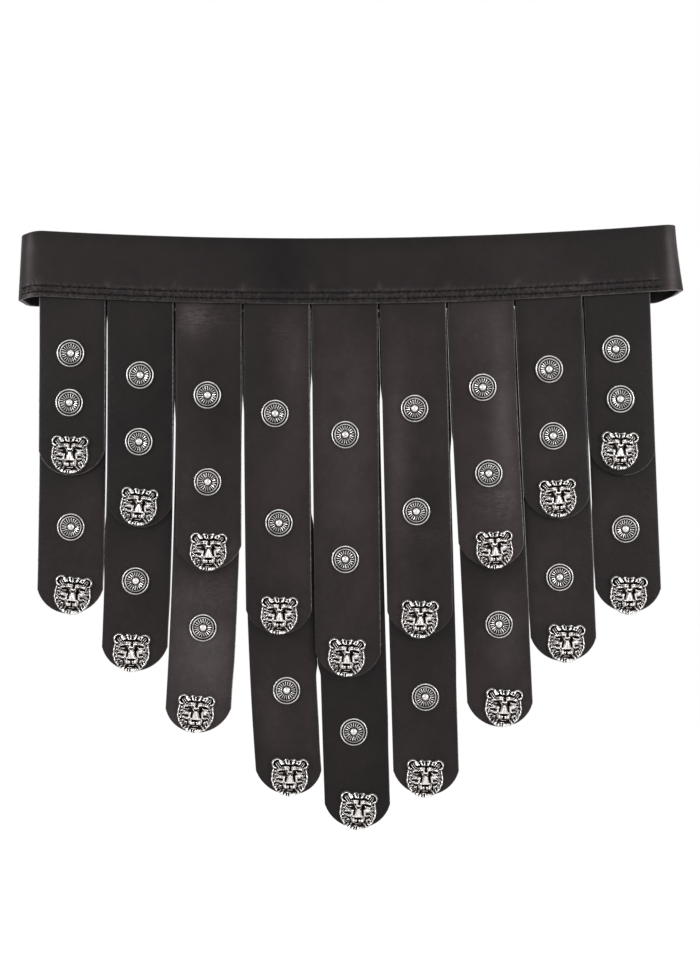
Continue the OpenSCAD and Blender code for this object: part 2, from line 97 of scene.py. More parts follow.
# Columns from left to right: free length, sideways drift of the tip, the power of the drop by which that
# drift grows, turn of the mask in degrees, and tone of the leather.
FRONT = {
    "length": np.array([133, 170, 200, 248, 280, 250, 200, 166, 136]) * MM,
    "sway": np.array([-0.8, -0.8, 0, 2, 2.8, 6, 9, 7, 4.8]) * MM,
    "bend": [2, 2, 2, 2, 1.4, 1, 1.3, 1.2, 1],
    "turn": [0, 4, 0, 0, 1, 0, -5, -6, 0],
    "tone": [0.62, 0.45, 0.94, 1.05, 1.25, 1.05, 1.55, 0.78, 0.62],
}
REAR = {
    "length": np.array([237, 278, 323, 369, 394, 370, 320, 273, 239]) * MM,
    "sway": np.array([-2.7, -5.5, -9.2, 10.4, 10.2, 10.7, 15.6, 12.2, 9.8]) * MM,
    "bend": [2, 2.2, 2.4, 3, 1.3, 1, 1, 1, 1],
    "turn": [5, 1, 3, 0, 3, 0, 2, 0, 0],
    "tone": [1.08, 0.8, 1.7, 0.9, 0.62, 1.0, 1.15, 0.95, 0.84],
}
# Painted sheen, lighter places painted into the tone where the leather catches the light: column, middle across
# and down, reach across and down, and strength.
PAINTED_SHEEN = {
    "front": ((2, -0.012, 0.010, 0.012, 0.018, 1.6), (2, 0.006, 0.185, 0.020, 0.020, 0.9),
              (3, 0.012, 0.050, 0.012, 0.040, 0.9), (4, 0.008, 0.110, 0.014, 0.070, 0.7),
              (5, -0.014, 0.120, 0.009, 0.070, 1.2), (6, 0.014, 0.090, 0.009, 0.070, 1.5),
              (7, 0.000, 0.070, 0.020, 0.050, 0.35)),
    "rear": ((2, 0.004, 0.262, 0.018, 0.036, 1.9), (3, -0.010, 0.310, 0.012, 0.030, 0.8),
             (6, 0.006, 0.250, 0.012, 0.030, 1.0)),
}
# Creased places, in the same terms; they get bumps and painted crinkle highlights and shade.
CREASES = {
    "front": ((2, -0.002, 0.012, 0.024, 0.010, 0.30), (5, 0.006, 0.172, 0.014, 0.010, 0.25),
              (6, 0.004, 0.150, 0.014, 0.012, 0.25), (3, 0.000, 0.020, 0.020, 0.012, 0.12)),
    "rear": ((2, 0.000, 0.215, 0.020, 0.010, 0.20),),
}
# The rear strips close most of the gap between two columns down to the first drop, and again from the
# second to the third. A drop of FAR is never reached. Where the gap is open, the left strip still
# reaches OPEN_REACH into it.
FAR = 9
CLOSED = ((0.008, 0.160, 0.300), (0.072, FAR, FAR), (0.066, FAR, FAR), (0.050, 0.156, 0.270),
          (0.059, FAR, FAR), (0.096, FAR, FAR), (0.400, FAR, FAR), (0.102, 0.155, 0.300))
OPEN_REACH = 0.0005
# Lighter and darker places of the band: strength, middle along and up, and reach along and up. The last
# two are painted highlights on the bends, the same all the way up.
BAND_CLOUDS_AND_PAINTED_SHINE = ((-0.30, -0.052, 0.020, 0.015, 0.040), (0.16, 0.060, 0.030, 0.080, 0.020),
               (1.60, -0.2400, 0.0, 0.0045, FAR), (2.60, 0.2412, 0.0, 0.0045, FAR))

# Buckle places behind, seen from above. FIT is the clearance between pieces that pass each other, and
# FOLD_GAP what the fold keeps from the heel bar inside it.
FIT = 0.0003
FOLD_GAP = 0.0001
BAR_X = -0.012
BAR_R = 0.0022
BAR_Y = LOOP_DEPTH / 2 - BAND_T - BAR_R - FOLD_GAP
FAR_Y = LOOP_DEPTH / 2 + FIT + BAR_R
FRAME_REACH = 0.038
FRAME_HALF = BAND_H / 2 + 0.0015 + BAR_R
FRAME_CORNER_R = 0.005
FRAME_TILT = math.asin((FAR_Y - BAR_Y) / FRAME_REACH)
CLIMB_X = 0.00519
CLIMB_R = 0.005
TAIL_REACH = 0.096
TAIL_TIP_R = 0.6 * BAND_H
HOLE_PITCH = 0.025
HOLE_R = 0.0025
PRONG_R = 0.0015
PRONG_HOLE_R = 0.0020
PRONG_SWING = math.radians(5)
SLOT_HALF = 0.009
FOLD_LEN = 0.034
FOLD_ROWS = (0.005, 0.011)
KEEPER_X = -0.066
KEEPER_W = 0.012
KEEPER_T = 0.0018
KEEPER_CORNER_R = 0.0022

# Rivet caps behind the castings.
CAP_R = 0.0045
CAP_H = 0.0007


# Shapes shared by the pieces

def smooth(x, low, high):
    """0 below low, 1 above high, and an S-curve between them."""
    t = np.clip((np.asarray(x, float) - low) / (high - low), 0, 1)
    return t * t * (3 - 2 * t)


def hill(x, z, cx, cz, wx, wz):
    """1 at a middle, and falling off as a bell with its own reach each way."""
    return np.exp(-((x - cx) / wx) ** 2 - ((z - cz) / wz) ** 2)


def band_z(x, h):
    """Height of a point on the band that lies h over its lower edge: an arc about the bow's centre."""
    return BOW_R - BAND_H / 2 - np.sqrt((BOW_R - h) ** 2 - (x - BOW_X) ** 2)


def column_x(k):
    return MIDDLE_X + (k - (COLUMNS - 1) / 2) * PITCH


def hinge_z(k):
    """Hinge line of a column, below the lowest stretch of band over it."""
    x = column_x(k)
    return band_z(np.clip(BOW_X, x - STRIP_W / 2, x + STRIP_W / 2), 0) - HINGE_DROP


def quads(rows, cols, round_rows=False, round_cols=False):
    """Corner numbers of the squares of a rows by cols grid of points, closed round where asked."""
    i, j = np.meshgrid(np.arange(rows - (not round_rows)), np.arange(cols - (not round_cols)), indexing="ij")
    down, right = (i + 1) % rows, (j + 1) % cols
    return np.stack([i * cols + j, i * cols + right, down * cols + right, down * cols + j], -1).reshape(-1, 4)


def circle(sides, r=1.0, start=0.0):
    """Points of a circle about the origin, from a direction on."""
    a = start + np.linspace(0, 2 * math.pi, sides, endpoint=False)
    return r * np.stack([np.cos(a), np.sin(a)], -1)


def end_caps(sides, last):
    """Flat ends of a tube: its first ring, turned over, and the ring that starts at the point numbered last."""
    return np.stack([np.arange(sides)[::-1], last + np.arange(sides)])


def grid_rim(rows, cols):
    """Point numbers round the outside of a rows by cols grid, each of them once."""
    return np.concatenate([np.arange(cols), np.arange(1, rows) * cols + cols - 1,
                           (rows - 1) * cols + np.arange(cols - 2, -1, -1), np.arange(rows - 2, 0, -1) * cols])


def round_end(place, across, stop, r, over):
    """Draws places back to an arc of radius r that touches the stop, more and more over the last stretch."""
    return place - (r - np.sqrt(r ** 2 - across ** 2)) * np.clip((place - (stop - over)) / over, 0, 1)


def outward(points, faces):
    """Turns the faces over if the volume they close, the sum of a . (b x c) / 6, is below zero."""
    volume = sum(np.einsum("ij,ij->", points[f[:, 0]], np.cross(points[f[:, i]], points[f[:, i + 1]]))
                 for f in faces for i in range(1, f.shape[1] - 1))
    return faces if volume > 0 else [f[:, ::-1] for f in faces]


def join(*shapes):
    """Puts several closed shapes, each a pair of points and faces, into one."""
    points, faces, start = [], [], 0
    for p, fs in shapes:
        points.append(p)
        faces += [f + start for f in outward(p, fs)]
        start += len(p)
    return np.concatenate(points), faces


def make_piece(name, shape, material, body=None, stands_for=(), values=None, crease=40):
    """A mesh object from points and faces, with one float attribute for each entry of values."""
    points, faces = shape
    corners = np.concatenate([f.ravel() for f in faces]).astype(np.int32)
    corner_counts = np.concatenate([np.full(len(f), f.shape[1]) for f in faces])
    starts = np.concatenate([[0], np.cumsum(corner_counts)[:-1]]).astype(np.int32)
    mesh = bpy.data.meshes.new(name)
    mesh.vertices.add(len(points))
    mesh.vertices.foreach_set("co", np.asarray(points, np.float32).ravel())
    mesh.loops.add(len(corners))
    mesh.loops.foreach_set("vertex_index", corners)
    mesh.polygons.add(len(corner_counts))
    mesh.polygons.foreach_set("loop_start", starts)
    mesh.update(calc_edges=True)
    if mesh.validate():
        raise RuntimeError(f"{name}: the mesh has faults")
    for key, value in (values or {}).items():
        held = mesh.attributes.new(key, "FLOAT", "POINT")
        held.data.foreach_set("value", np.broadcast_to(value, len(points)).astype(np.float32))
    mesh.shade_smooth()
    mesh.set_sharp_from_angle(angle=math.radians(crease))
    mesh.materials.append(material)
    piece = bpy.data.objects.new(name, mesh)
    bpy.context.scene.collection.objects.link(piece)
    if body:
        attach(piece, body)
    if stands_for:
        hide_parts(*stands_for)
    return piece


def cut_leather(u, v, thickness, edge_r, lay):
    """A closed sheet of leather from the flat grid (u, v), which lies edge_r inside its outline.

    The front grid and the rear grid are joined by rings that step outwards along the outline's normal
    and through the thickness on a quarter circle, a cut edge and another quarter circle. lay turns flat
    places and a depth into points. Returns the shape, its share of cut edge, and its flat places and depths.
    """
    rows, cols = u.shape
    count = rows * cols
    rim = grid_rim(rows, cols)
    rim_u, rim_v = u.ravel()[rim], v.ravel()[rim]
    along_u, along_v = np.roll(rim_u, -1) - np.roll(rim_u, 1), np.roll(rim_v, -1) - np.roll(rim_v, 1)
    way = np.sign(np.sum(rim_u * np.roll(rim_v, -1) - rim_v * np.roll(rim_u, -1)))
    length = way * np.hypot(along_u, along_v)
    turn = np.linspace(0, math.pi / 2, 4)[1:]
    out, deep = edge_r * np.sin(turn), edge_r * (1 - np.cos(turn))
    out, deep = np.concatenate([out, out[::-1]]), np.concatenate([deep, thickness - deep[::-1]])
    flat_u = np.concatenate([u.ravel(), (rim_u + along_v / length * out[:, None]).ravel(), u.ravel()])
    flat_v = np.concatenate([v.ravel(), (rim_v - along_u / length * out[:, None]).ravel(), v.ravel()])
    depth = np.concatenate([np.zeros(count), np.repeat(deep, len(rim)), np.full(count, thickness)])
    edge = np.concatenate([np.zeros(count), np.repeat([0.5, 1, 1, 1, 1, 0.5], len(rim)), np.zeros(count)])
    back = count + len(out) * len(rim)
    rings = np.vstack([rim, np.arange(count, back).reshape(len(out), -1), back + rim])
    ring_faces = rings.ravel()[quads(len(rings), len(rim), round_cols=True)]
    front_faces = quads(rows, cols)
    faces = [np.concatenate([front_faces, ring_faces[:, ::-1], front_faces[:, ::-1] + back])]
    return (lay(flat_u, flat_v, depth), faces), edge, (flat_u, flat_v, depth)


def tube(path, across, beside, profile, closed=True):
    """A profile of (across, beside) steps carried along a path, closed round both ways, or with capped ends."""
    points = path[:, None] + across[:, None] * profile[None, :, :1] + beside[:, None] * profile[None, :, 1:]
    faces = [quads(len(path), len(profile), closed, True)]
    if not closed:
        faces.append(end_caps(len(profile), (len(path) - 1) * len(profile)))
    return points.reshape(-1, 3), faces


def rounded_box_loop(half_a, half_b, r, steps=12):
    """A closed line round a rectangle with rounded corners, with its outward normals. Four arcs, end to end."""
    a = np.concatenate([np.linspace(q, q + math.pi / 2, steps) for q in np.arange(4) * math.pi / 2])
    normal = np.stack([np.cos(a), np.sin(a)], -1)
    centre = np.repeat([[1, 1], [-1, 1], [-1, -1], [1, -1]], steps, axis=0) * [half_a - r, half_b - r]
    return centre + r * normal, normal


def fine_loop(line, normal, step):
    """The same closed line with points added at an even step along it."""
    ahead = np.roll(line, -1, axis=0)
    count = np.maximum(1, np.round(np.linalg.norm(ahead - line, axis=1) / step).astype(int))
    which = np.repeat(np.arange(len(line)), count)
    part = np.concatenate([np.arange(c) / c for c in count])[:, None]
    between = normal[which] * (1 - part) + np.roll(normal, -1, axis=0)[which] * part
    return line[which] * (1 - part) + ahead[which] * part, between / np.linalg.norm(between, axis=1)[:, None]


# Materials

def colour(value, times=1.0):
    return (*(times * c for c in value), 1.0)


class Nodes:
    """Short ways to add nodes to a tree."""

    def __init__(self, tree):
        self.tree = tree

    def add(self, kind, wires=None, **settings):
        """One node: settings are its own, wires go to its sockets as links or values."""
        node = self.tree.nodes.new(kind)
        for key, value in settings.items():
            setattr(node, key, value)
        for key, value in (wires or {}).items():
            self.wire(node.inputs[key], value)
        return node

    def wire(self, socket, value):
        if isinstance(value, bpy.types.NodeSocket):
            self.tree.links.new(value, socket)
        else:
            socket.default_value = value

    def maths(self, kind, a, b=0.0):
        return self.add("ShaderNodeMath", {0: a, 1: b}, operation=kind).outputs[0]

    def times(self, a, b):
        return self.maths("MULTIPLY", a, b)

    def plus(self, a, b):
        return self.maths("ADD", a, b)


class Finish(Nodes):
    """A material and short ways to fill its tree. It is ready where the material was made before."""

    def __init__(self, name):
        found = bpy.data.materials.get(name)
        self.ready = found is not None
        self.material = found or bpy.data.materials.new(name)
        if not self.ready:
            self.material.use_nodes = True
            super().__init__(self.material.node_tree)
            self.shader = self.tree.nodes["Principled BSDF"]
            self.place = self.add("ShaderNodeTexCoord").outputs["Object"]

    def noise(self, scale, detail=3, rough=0.55, stretch=None):
        """Noise from 0 to 1 in object coordinates, stretched along the axes where asked."""
        at = self.place
        if stretch:
            at = self.add("ShaderNodeMapping", {"Vector": at, "Scale": stretch}).outputs["Vector"]
        node = self.add("ShaderNodeTexNoise", {"Vector": at, "Scale": scale, "Detail": detail, "Roughness": rough})
        return node.outputs["Fac"]

    def fit(self, value, low, high, to_low=0.0, to_high=1.0):
        """A value from one range carried to another, held inside it."""
        node = self.add("ShaderNodeMapRange", {"Value": value, "From Min": low, "From Max": high,
                                               "To Min": to_low, "To Max": to_high})
        return node.outputs["Result"]

    def held(self, key):
        """A float attribute of the mesh."""
        return self.add("ShaderNodeAttribute", attribute_name=key).outputs["Fac"]

    def mix(self, share, a, b):
        """Colour a where share is 0 and colour b where it is 1."""
        return self.add("ShaderNodeMix", {0: share, 6: a, 7: b}, data_type="RGBA").outputs[2]

    def bump(self, height, distance, strength=1.0, after=None):
        node = self.add("ShaderNodeBump", {"Height": height, "Distance": distance, "Strength": strength})
        if after:
            self.wire(node.inputs["Normal"], after)
        return node.outputs["Normal"]

    def finish(self, base, rough, normal, **plain):
        """Wires the shader, and sets the numbers that are the same all over on its own sockets."""
        for key, value in {"Base_Color": base, "Roughness": rough, "Normal": normal, **plain}.items():
            self.wire(self.shader.inputs[key.replace("_", " ")], value)
        return self.material


def needle_hole_shade(f, pitch, start, rows):
    """Painted shade of a seam's rows of needle holes, at even steps of the mesh's run, and of the lines they lie
    in.
    """
    step = f.maths("DIVIDE", f.maths("SUBTRACT", f.held("run"), start), pitch)
    off = f.times(f.maths("SUBTRACT", f.maths("FRACT", step), 0.5), pitch)
    stray = f.fit(f.noise(330, 3), 0.2, 0.8, -0.0005, 0.0005)
    dark = 0.0
    for row in rows:
        over = f.plus(f.maths("SUBTRACT", f.held("rise"), row), stray)
        far = f.maths("SQRT", f.plus(f.times(off, off), f.times(over, over)))
        hole = f.fit(far, 0.0003, 0.0010, 0.9, 0.0)
        line = f.fit(f.maths("ABSOLUTE", over), 0.0003, 0.0010, 0.35, 0.0)
        dark = f.maths("MAXIMUM", dark, f.times(f.maths("MAXIMUM", hole, line), f.held("sewn")))
    return dark


def leather(name, face, deep, edge, seam=None):
    """Worn black leather: slow clouds of tone, a pebbled grain, fine wrinkles and paler cut edges that also stand
    for painted highlights.

    The mesh gives tone, which also carries painted sheen and shade, the share of cut edge, and wrinkle for creased
    places, which get painted crinkle highlights and shade besides their bump. With a seam, given as the pitch, the
    start and the rows of its holes, the creases are those of leather puffed up between two rows, and the holes and
    the lines they lie in get painted shade.
    """
    f = Finish(name)
    if f.ready:
        return f.material
    clouds = f.fit(f.noise(24, 6, 0.62), 0.32, 0.68)
    scuffs = f.fit(f.noise(210, 6, 0.7, stretch=(1, 1, 0.55)), 0.5, 0.78)
    shade = f.mix(clouds, colour(deep), colour(face))
    shade = f.mix(f.times(scuffs, 0.22), shade, colour(face, 2.2))
    wrinkle = f.held("wrinkle")
    # Painted crinkle highlights and shade: creased places get a strong noise in the tone.
    painted_crinkle_light = f.noise(430, 4, 0.75, stretch=(1, 1, 0.6) if seam else (0.45, 1, 2.0))
    tone = f.times(f.held("tone"), f.plus(f.times(wrinkle, f.fit(painted_crinkle_light, 0.38, 0.66, -0.9, 3.4)), 1.0))
    # Where the tone is high, as in painted sheen, the colour turns greyer, as a highlight would.
    shade = f.add("ShaderNodeHueSaturation", {"Color": shade, "Value": tone,
                                              "Saturation": f.fit(tone, 1.2, 4.0, 1.0, 0.5)}).outputs["Color"]
    # Painted shade in the needle holes and along the lines they lie in.
    dark = needle_hole_shade(f, *seam) if seam else 0.0
    shade = f.mix(f.times(dark, 0.9), shade, colour(deep, 0.2))
    # Paler raw cut edges, which also stand for painted highlights along them.
    pale_edge_and_highlight = f.times(f.held("cut_edge_and_highlight"), f.fit(f.noise(520, 5, 0.7), 0.38, 0.62, 0.1, 1.0))
    pale_edge_and_highlight = f.times(pale_edge_and_highlight, f.fit(f.noise(17, 2), 0.38, 0.60, 0.30, 1.0))
    rough = f.plus(f.fit(f.noise(75, 5, 0.65), 0.3, 0.7, 0.36, 0.56), f.times(dark, 0.3))
    cells = f.add("ShaderNodeTexVoronoi", {"Vector": f.place, "Scale": 1050.0}, feature="F1").outputs["Distance"]
    normal = f.bump(f.noise(160, 6, 0.7, stretch=(1, 1, 1.8)), 0.0007, 0.55)
    normal = f.bump(f.noise(300, 5, 0.75, stretch=(0.5, 1, 1.4)), 0.0024, f.times(wrinkle, 1.1), normal)
    normal = f.bump(f.plus(f.times(cells, -0.6), f.noise(1900, 3, 0.6)), 0.00016, 0.55, normal)
    normal = f.bump(f.times(dark, -1.0), 0.0004, 0.6, normal)
    return f.finish(f.mix(pale_edge_and_highlight, shade, colour(edge)), rough, normal, Specular_IOR_Level=0.17, IOR=1.45)


def antique_silver(name, bright, oxide):
    """Cast white metal: black oxide in the hollows, polished high places, and a fine cast texture.

    The mesh gives silver, 0 in hollows and 1 on rubbed heights; on the rosettes it also holds painted highlights
    and a painted reflection on the boss.
    """
    f = Finish(name)
    if f.ready:
        return f.material
    blotch = f.fit(f.noise(620, 4, 0.65), 0.3, 0.7, -0.09, 0.09)
    share = f.fit(f.plus(f.held("silver"), blotch), 0.22, 0.90)
    tarnish = f.times(f.fit(f.noise(90, 3), 0.35, 0.7), 0.35)
    base = f.mix(share, colour(oxide), f.mix(tarnish, colour(bright), colour(bright, 0.55)))
    normal = f.bump(f.noise(1500, 4, 0.6), 0.00008, 0.5)
    return f.finish(base, f.fit(share, 0, 1, 0.60, 0.24), normal, Metallic=1.0)


def thread_wax(name, shade):
    """Waxed thread: two plies twisted round each other, so diagonal ridges cross each stitch."""
    f = Finish(name)
    if f.ready:
        return f.material
    twist = f.add("ShaderNodeTexWave", {"Vector": f.place, "Scale": 620.0, "Distortion": 1.5},
                  bands_direction="DIAGONAL").outputs["Fac"]
    # The grooves between the plies are painted darker: painted shade.
    return f.finish(f.mix(twist, colour(shade, 0.5), colour(shade)), 0.6, f.bump(twist, 0.00012, 0.8),
                    Specular_IOR_Level=0.06)


def buckle_steel(name, shade):
    """Drawn steel rod with soft die lines and rubbed, uneven gloss."""
    f = Finish(name)
    if f.ready:
        return f.material
    lines = f.noise(240, 5, 0.6, stretch=(6, 6, 0.6))
    base = f.mix(f.fit(f.noise(120, 4), 0.3, 0.7), colour(shade, 0.62), colour(shade))
    return f.finish(base, f.fit(lines, 0.3, 0.7, 0.22, 0.42), f.bump(lines, 0.00005, 0.6), Metallic=1.0)


# Sizes and colours a user would change

def measure(name, description, default, low, high):
    return FloatProperty(name=name, description=description, default=default, min=low, max=high, unit="LENGTH")


def paint(name, description, default):
    return FloatVectorProperty(name=name, description=description, default=default, min=0, max=1, subtype="COLOR")


class ApronSizes(PropertyGroup):
    edge_round: measure("Edge rounding", "Radius worn onto the leather's cut edges", 0.0007, 0.0002, 0.0012)
    press: measure("Pressed heads", "Depth of the lines that the sewn heads press into the band",
                   0.000105, 0, 0.0003)
    flare: measure("End flare", "Reach of the band's lower edge past its upper edge at the right bend",
                   0.0062, 0, 0.012)
    wave: measure("Waviness", "Height of the slow waves in the hanging leather", 0.000132, 0, 0.00024)
    stitch: measure("Stitch", "Distance from one stitch to the next", 0.0038, 0.002, 0.006)
    thread: measure("Thread", "Width of the thread", 0.0011, 0.0004, 0.0014)
    flutes: IntProperty(name="Flutes", description="Radial flutes in a rosette's dished field", default=21,
                        min=12, max=36)


class ApronColours(PropertyGroup):
    strap: paint("Strap leather", "Face of the hanging leather", (0.0142, 0.0099, 0.0101))
    band: paint("Band leather", "Face of the waist band", (0.0130, 0.0090, 0.0093))
    deep: paint("Deep tone", "Darker clouds in the leather", (0.0088, 0.0060, 0.0062))
    edge: paint("Cut edge", "Raw edge of the leather", (0.330, 0.297, 0.288))
    silver: paint("Silver", "Polished heights of the castings", (0.80, 0.775, 0.755))
    oxide: paint("Oxide", "Blackened hollows of the castings", (0.018, 0.0135, 0.0125))
    steel: paint("Steel", "Buckle frame and prong", (0.42, 0.41, 0.40))
    thread: paint("Thread", "Waxed thread of the seams", (0.0036, 0.0030, 0.0031))
    backdrop: paint("Backdrop", "Floor and background", (1.0, 1.0, 1.0))


def sizes():
    return bpy.context.scene.apron_sizes


def colours():
    return bpy.context.scene.apron_colours


def strap_leather():
    c = colours()
    return leather("worn_strap_hide", c.strap, c.deep, c.edge)


def band_leather():
    c = colours()
    return leather("worn_band_hide", c.band, c.deep, c.edge, (sizes().stitch, band_front()[0], SEAM_ROWS))


# The waist band

# Rows across the band: their spacing on straight runs, and how far the line turns from one to the next.
ROW_STEP = 0.0020
ROW_TURN = 0.13


def arc_line(centre, r, start, stop):
    """Points of an arc in plan, from one direction to another in degrees, a point every three degrees."""
    a = np.radians(np.linspace(start, stop, max(4, int(abs(stop - start) / 3))))
    return np.array(centre) + r * np.stack([np.cos(a), np.sin(a)], -1)


def band_plan():
    """Middle line of the band seen from above: the lengths of its cross rows, and the line at fine lengths.

    It runs from the end of the fold round the heel bar, along the rear run, round the left bend, along the
    front, round the right bend, along the rear and on through the frame to the tail. The rows lie evenly in
    length plus a share of the line's turning, so bends get more of them than straight runs.
    """
    straight, corner_y = LOOP_W / 2 - CORNER_R, LOOP_DEPTH / 2 - CORNER_R
    bend_r, climb = CORNER_R - BAND_T / 2, BAND_T + FIT
    angle = math.degrees(math.acos(1 - climb / (2 * CLIMB_R)))
    half = CLIMB_R * math.sin(math.radians(angle))
    rear_mid = LOOP_DEPTH / 2 - BAND_T / 2
    tail_mid = rear_mid + climb
    fold_y = BAR_Y - BAR_R - FOLD_GAP - BAND_T / 2
    corners = ((-straight, corner_y, 90), (-straight, -corner_y, 180), (straight, -corner_y, -90),
               (straight, corner_y, 0))
    line = np.concatenate([
        [[BAR_X - FOLD_LEN, fold_y]],
        arc_line([BAR_X, (fold_y + rear_mid) / 2], (rear_mid - fold_y) / 2, -90, 90),
        *(arc_line([x, y], bend_r, start, start + 90) for x, y, start in corners),
        arc_line([CLIMB_X + half, rear_mid + CLIMB_R], CLIMB_R, 270, 270 - angle),
        arc_line([CLIMB_X - half, tail_mid - CLIMB_R], CLIMB_R, 90 - angle, 90)[1:],
        [[BAR_X - TAIL_REACH, tail_mid]],
    ])
    at = np.concatenate([[0], np.cumsum(np.linalg.norm(np.diff(line, axis=0), axis=1))])
    fine = np.arange(0, at[-1], 0.0002)
    x, y = np.interp(fine, at, line[:, 0]), np.interp(fine, at, line[:, 1])
    heading = np.unwrap(np.arctan2(np.gradient(y), np.gradient(x)))
    cost = np.concatenate([[0], np.cumsum(np.diff(fine) / ROW_STEP + np.abs(np.diff(heading)) / ROW_TURN)])
    rows = np.interp(np.linspace(0, cost[-1], int(cost[-1])), cost, fine)
    return rows, fine, x, y, heading


def band_front():
    """The lengths along the band between which its front is sewn."""
    _, fine, x, y, _ = band_plan()
    sewn = fine[(y < -0.004) & (x > -LOOP_W / 2 + 0.0060) & (x < LOOP_W / 2 - CORNER_R - 0.006)]
    return sewn[0], sewn[-1]


def near_gaps(px, reach):
    """1 over the middle of each gap between the sewn heads, and over both ends of them, falling off as a bell."""
    return np.exp(-((px[:, None] - column_x(np.arange(-0.5, COLUMNS))) / reach) ** 2).sum(1)


def pressed(px, height):
    """How deep the band's face sinks: over the heads' gaps and along the seams, with a puff between the two."""
    low = 1 - smooth(height, HEAD_H - 0.001, HEAD_H + 0.003)
    seam = sum(np.exp(-((height - row) / 0.0007) ** 2) for row in SEAM_ROWS)
    puff = np.exp(-((height - sum(SEAM_ROWS) / 2) / 0.0014) ** 2)
    waves = 0.00018 * np.sin(px * 61 + height * 40) * np.sin(height * 90 + px * 23)
    return (sizes().press * near_gaps(px, 0.0016) * low + waves
            + (0.00028 * seam - 0.0003 * puff) * smooth(0.246 - np.abs(px), 0, 0.01))


def band_lay(fine, x, y, heading):
    """Turns a place along the band, a height over its lower edge and a depth into points.

    The point steps sideways from the middle line, half the thickness out for depth 0, less what the front is
    pressed in. The bends flare towards the lower edge, and the left bend and the rear runs hang a little lower.
    """
    flare = sizes().flare

    def lay(along, height, depth):
        px, py = np.interp(along, fine, x), np.interp(along, fine, y)
        turn = np.interp(along, fine, heading)
        front = (depth < BAND_T / 2) * smooth(-py, 0.018, 0.024)
        side = depth - BAND_T / 2 + front * pressed(px, height)
        px, py = px - np.sin(turn) * side, py + np.cos(turn) * side
        out = np.abs(px)
        lean = np.maximum(1 - height / BAND_H, 0)
        reach = np.where(px > 0, flare * lean ** 1.3 - 0.001, -(0.0012 + 0.0026 * lean))
        sag = 0.0035 * smooth(-px, 0.228, 0.2475) ** 1.3
        sag += (smooth(py, -0.015, 0.018) * np.where(px > 0, 0.0040, 0.0022)
                * smooth(out, 0.12, 0.20) * (1 - smooth(out, 0.232, 0.2475)))
        return np.stack([px + reach * smooth(out, 0.205, 0.246), py, band_z(px, height) - sag], -1)
    return lay


def leather_values(edge, tone=1.0, wrinkle=0.0, **more):
    return {"cut_edge_and_highlight": edge, "tone": tone, "wrinkle": wrinkle, **more}


def band_values(px, edge, along, height, depth):
    """The leather's values on the band.

    Creases lie between the seams, and over them where they pull at the heads' gaps. The tone is two slow waves
    and broad clouds with painted highlights on the bends, darker along the upper edge, and darker inside the loop
    as painted shade.
    """
    start, stop = band_front()
    sewn = (depth < 0.0005) * smooth(along, start - 0.002, start) * (1 - smooth(along, stop, stop + 0.002))
    pulled = sewn * near_gaps(px - 0.001, 0.0028)
    pulled = pulled * smooth(height, 0.008, 0.0095) * (1 - smooth(height, 0.010, 0.019))
    creased = np.maximum(0.75 * sewn * (1 - smooth(height, 0.0085, 0.0125)), 0.45 * pulled)
    tone = 0.72 - 0.13 * np.cos(px * 14 + 0.3) + 0.09 * np.sin(px * 47 + height * 50) + 0.5 * pulled
    tone += 0.08 * (1 - smooth(height, 0.010, 0.032)) - 0.16 * smooth(px, 0.150, 0.175)
    # Random clouds, and as the last two rows painted highlights on the bends.
    tone += sum(much * hill(px, height, *where) for much, *where in BAND_CLOUDS_AND_PAINTED_SHINE)
    # The inner face is darkened to a quarter: painted shade inside the loop.
    tone *= (1 - 0.35 * smooth(height, 0.036, 0.049)) * np.where(depth > BAND_T / 2, 0.25, 1)
    return leather_values(0.45 * edge, tone, creased, run=along, rise=height, sewn=sewn)


def punch(piece, cutter):
    """Cuts a closed shape out of a piece with a Boolean that is applied at once."""
    points, faces = join(cutter)
    mesh = bpy.data.meshes.new("punch")
    mesh.from_pydata(points.tolist(), [], [c for f in faces for c in f.tolist()])
    tool = bpy.data.objects.new("punch", mesh)
    bpy.context.scene.collection.objects.link(tool)
    cut = piece.modifiers.new("punch", "BOOLEAN")
    cut.operation, cut.solver, cut.object = "DIFFERENCE", "EXACT", tool
    bpy.context.view_layer.update()
    done = bpy.data.meshes.new_from_object(piece.evaluated_get(bpy.context.evaluated_depsgraph_get()))
    piece.modifiers.clear()
    piece.data = done
    bpy.data.objects.remove(tool)


def rod(start, stop, r):
    """A straight level round bar between two points: a circle carried along the line, with flat ends."""
    start, stop = np.array(start, float), np.array(stop, float)
    along = (stop - start) / np.linalg.norm(stop - start)
    other = np.cross(along, [0, 0, 1])
    return tube(np.stack([start, stop]), np.tile(other, (2, 1)), np.tile(np.cross(along, other), (2, 1)),
                circle(32, r), closed=False)


def brick(low, high):
    """A plain cutter between two corners."""
    corner = np.array([[x, y, z] for x in (low[0], high[0]) for y in (low[1], high[1]) for z in (low[2], high[2])])
    return corner, [np.array([[0, 1, 3, 2], [4, 6, 7, 5], [0, 4, 5, 1], [2, 3, 7, 6], [0, 2, 6, 4], [1, 5, 7, 3]])]


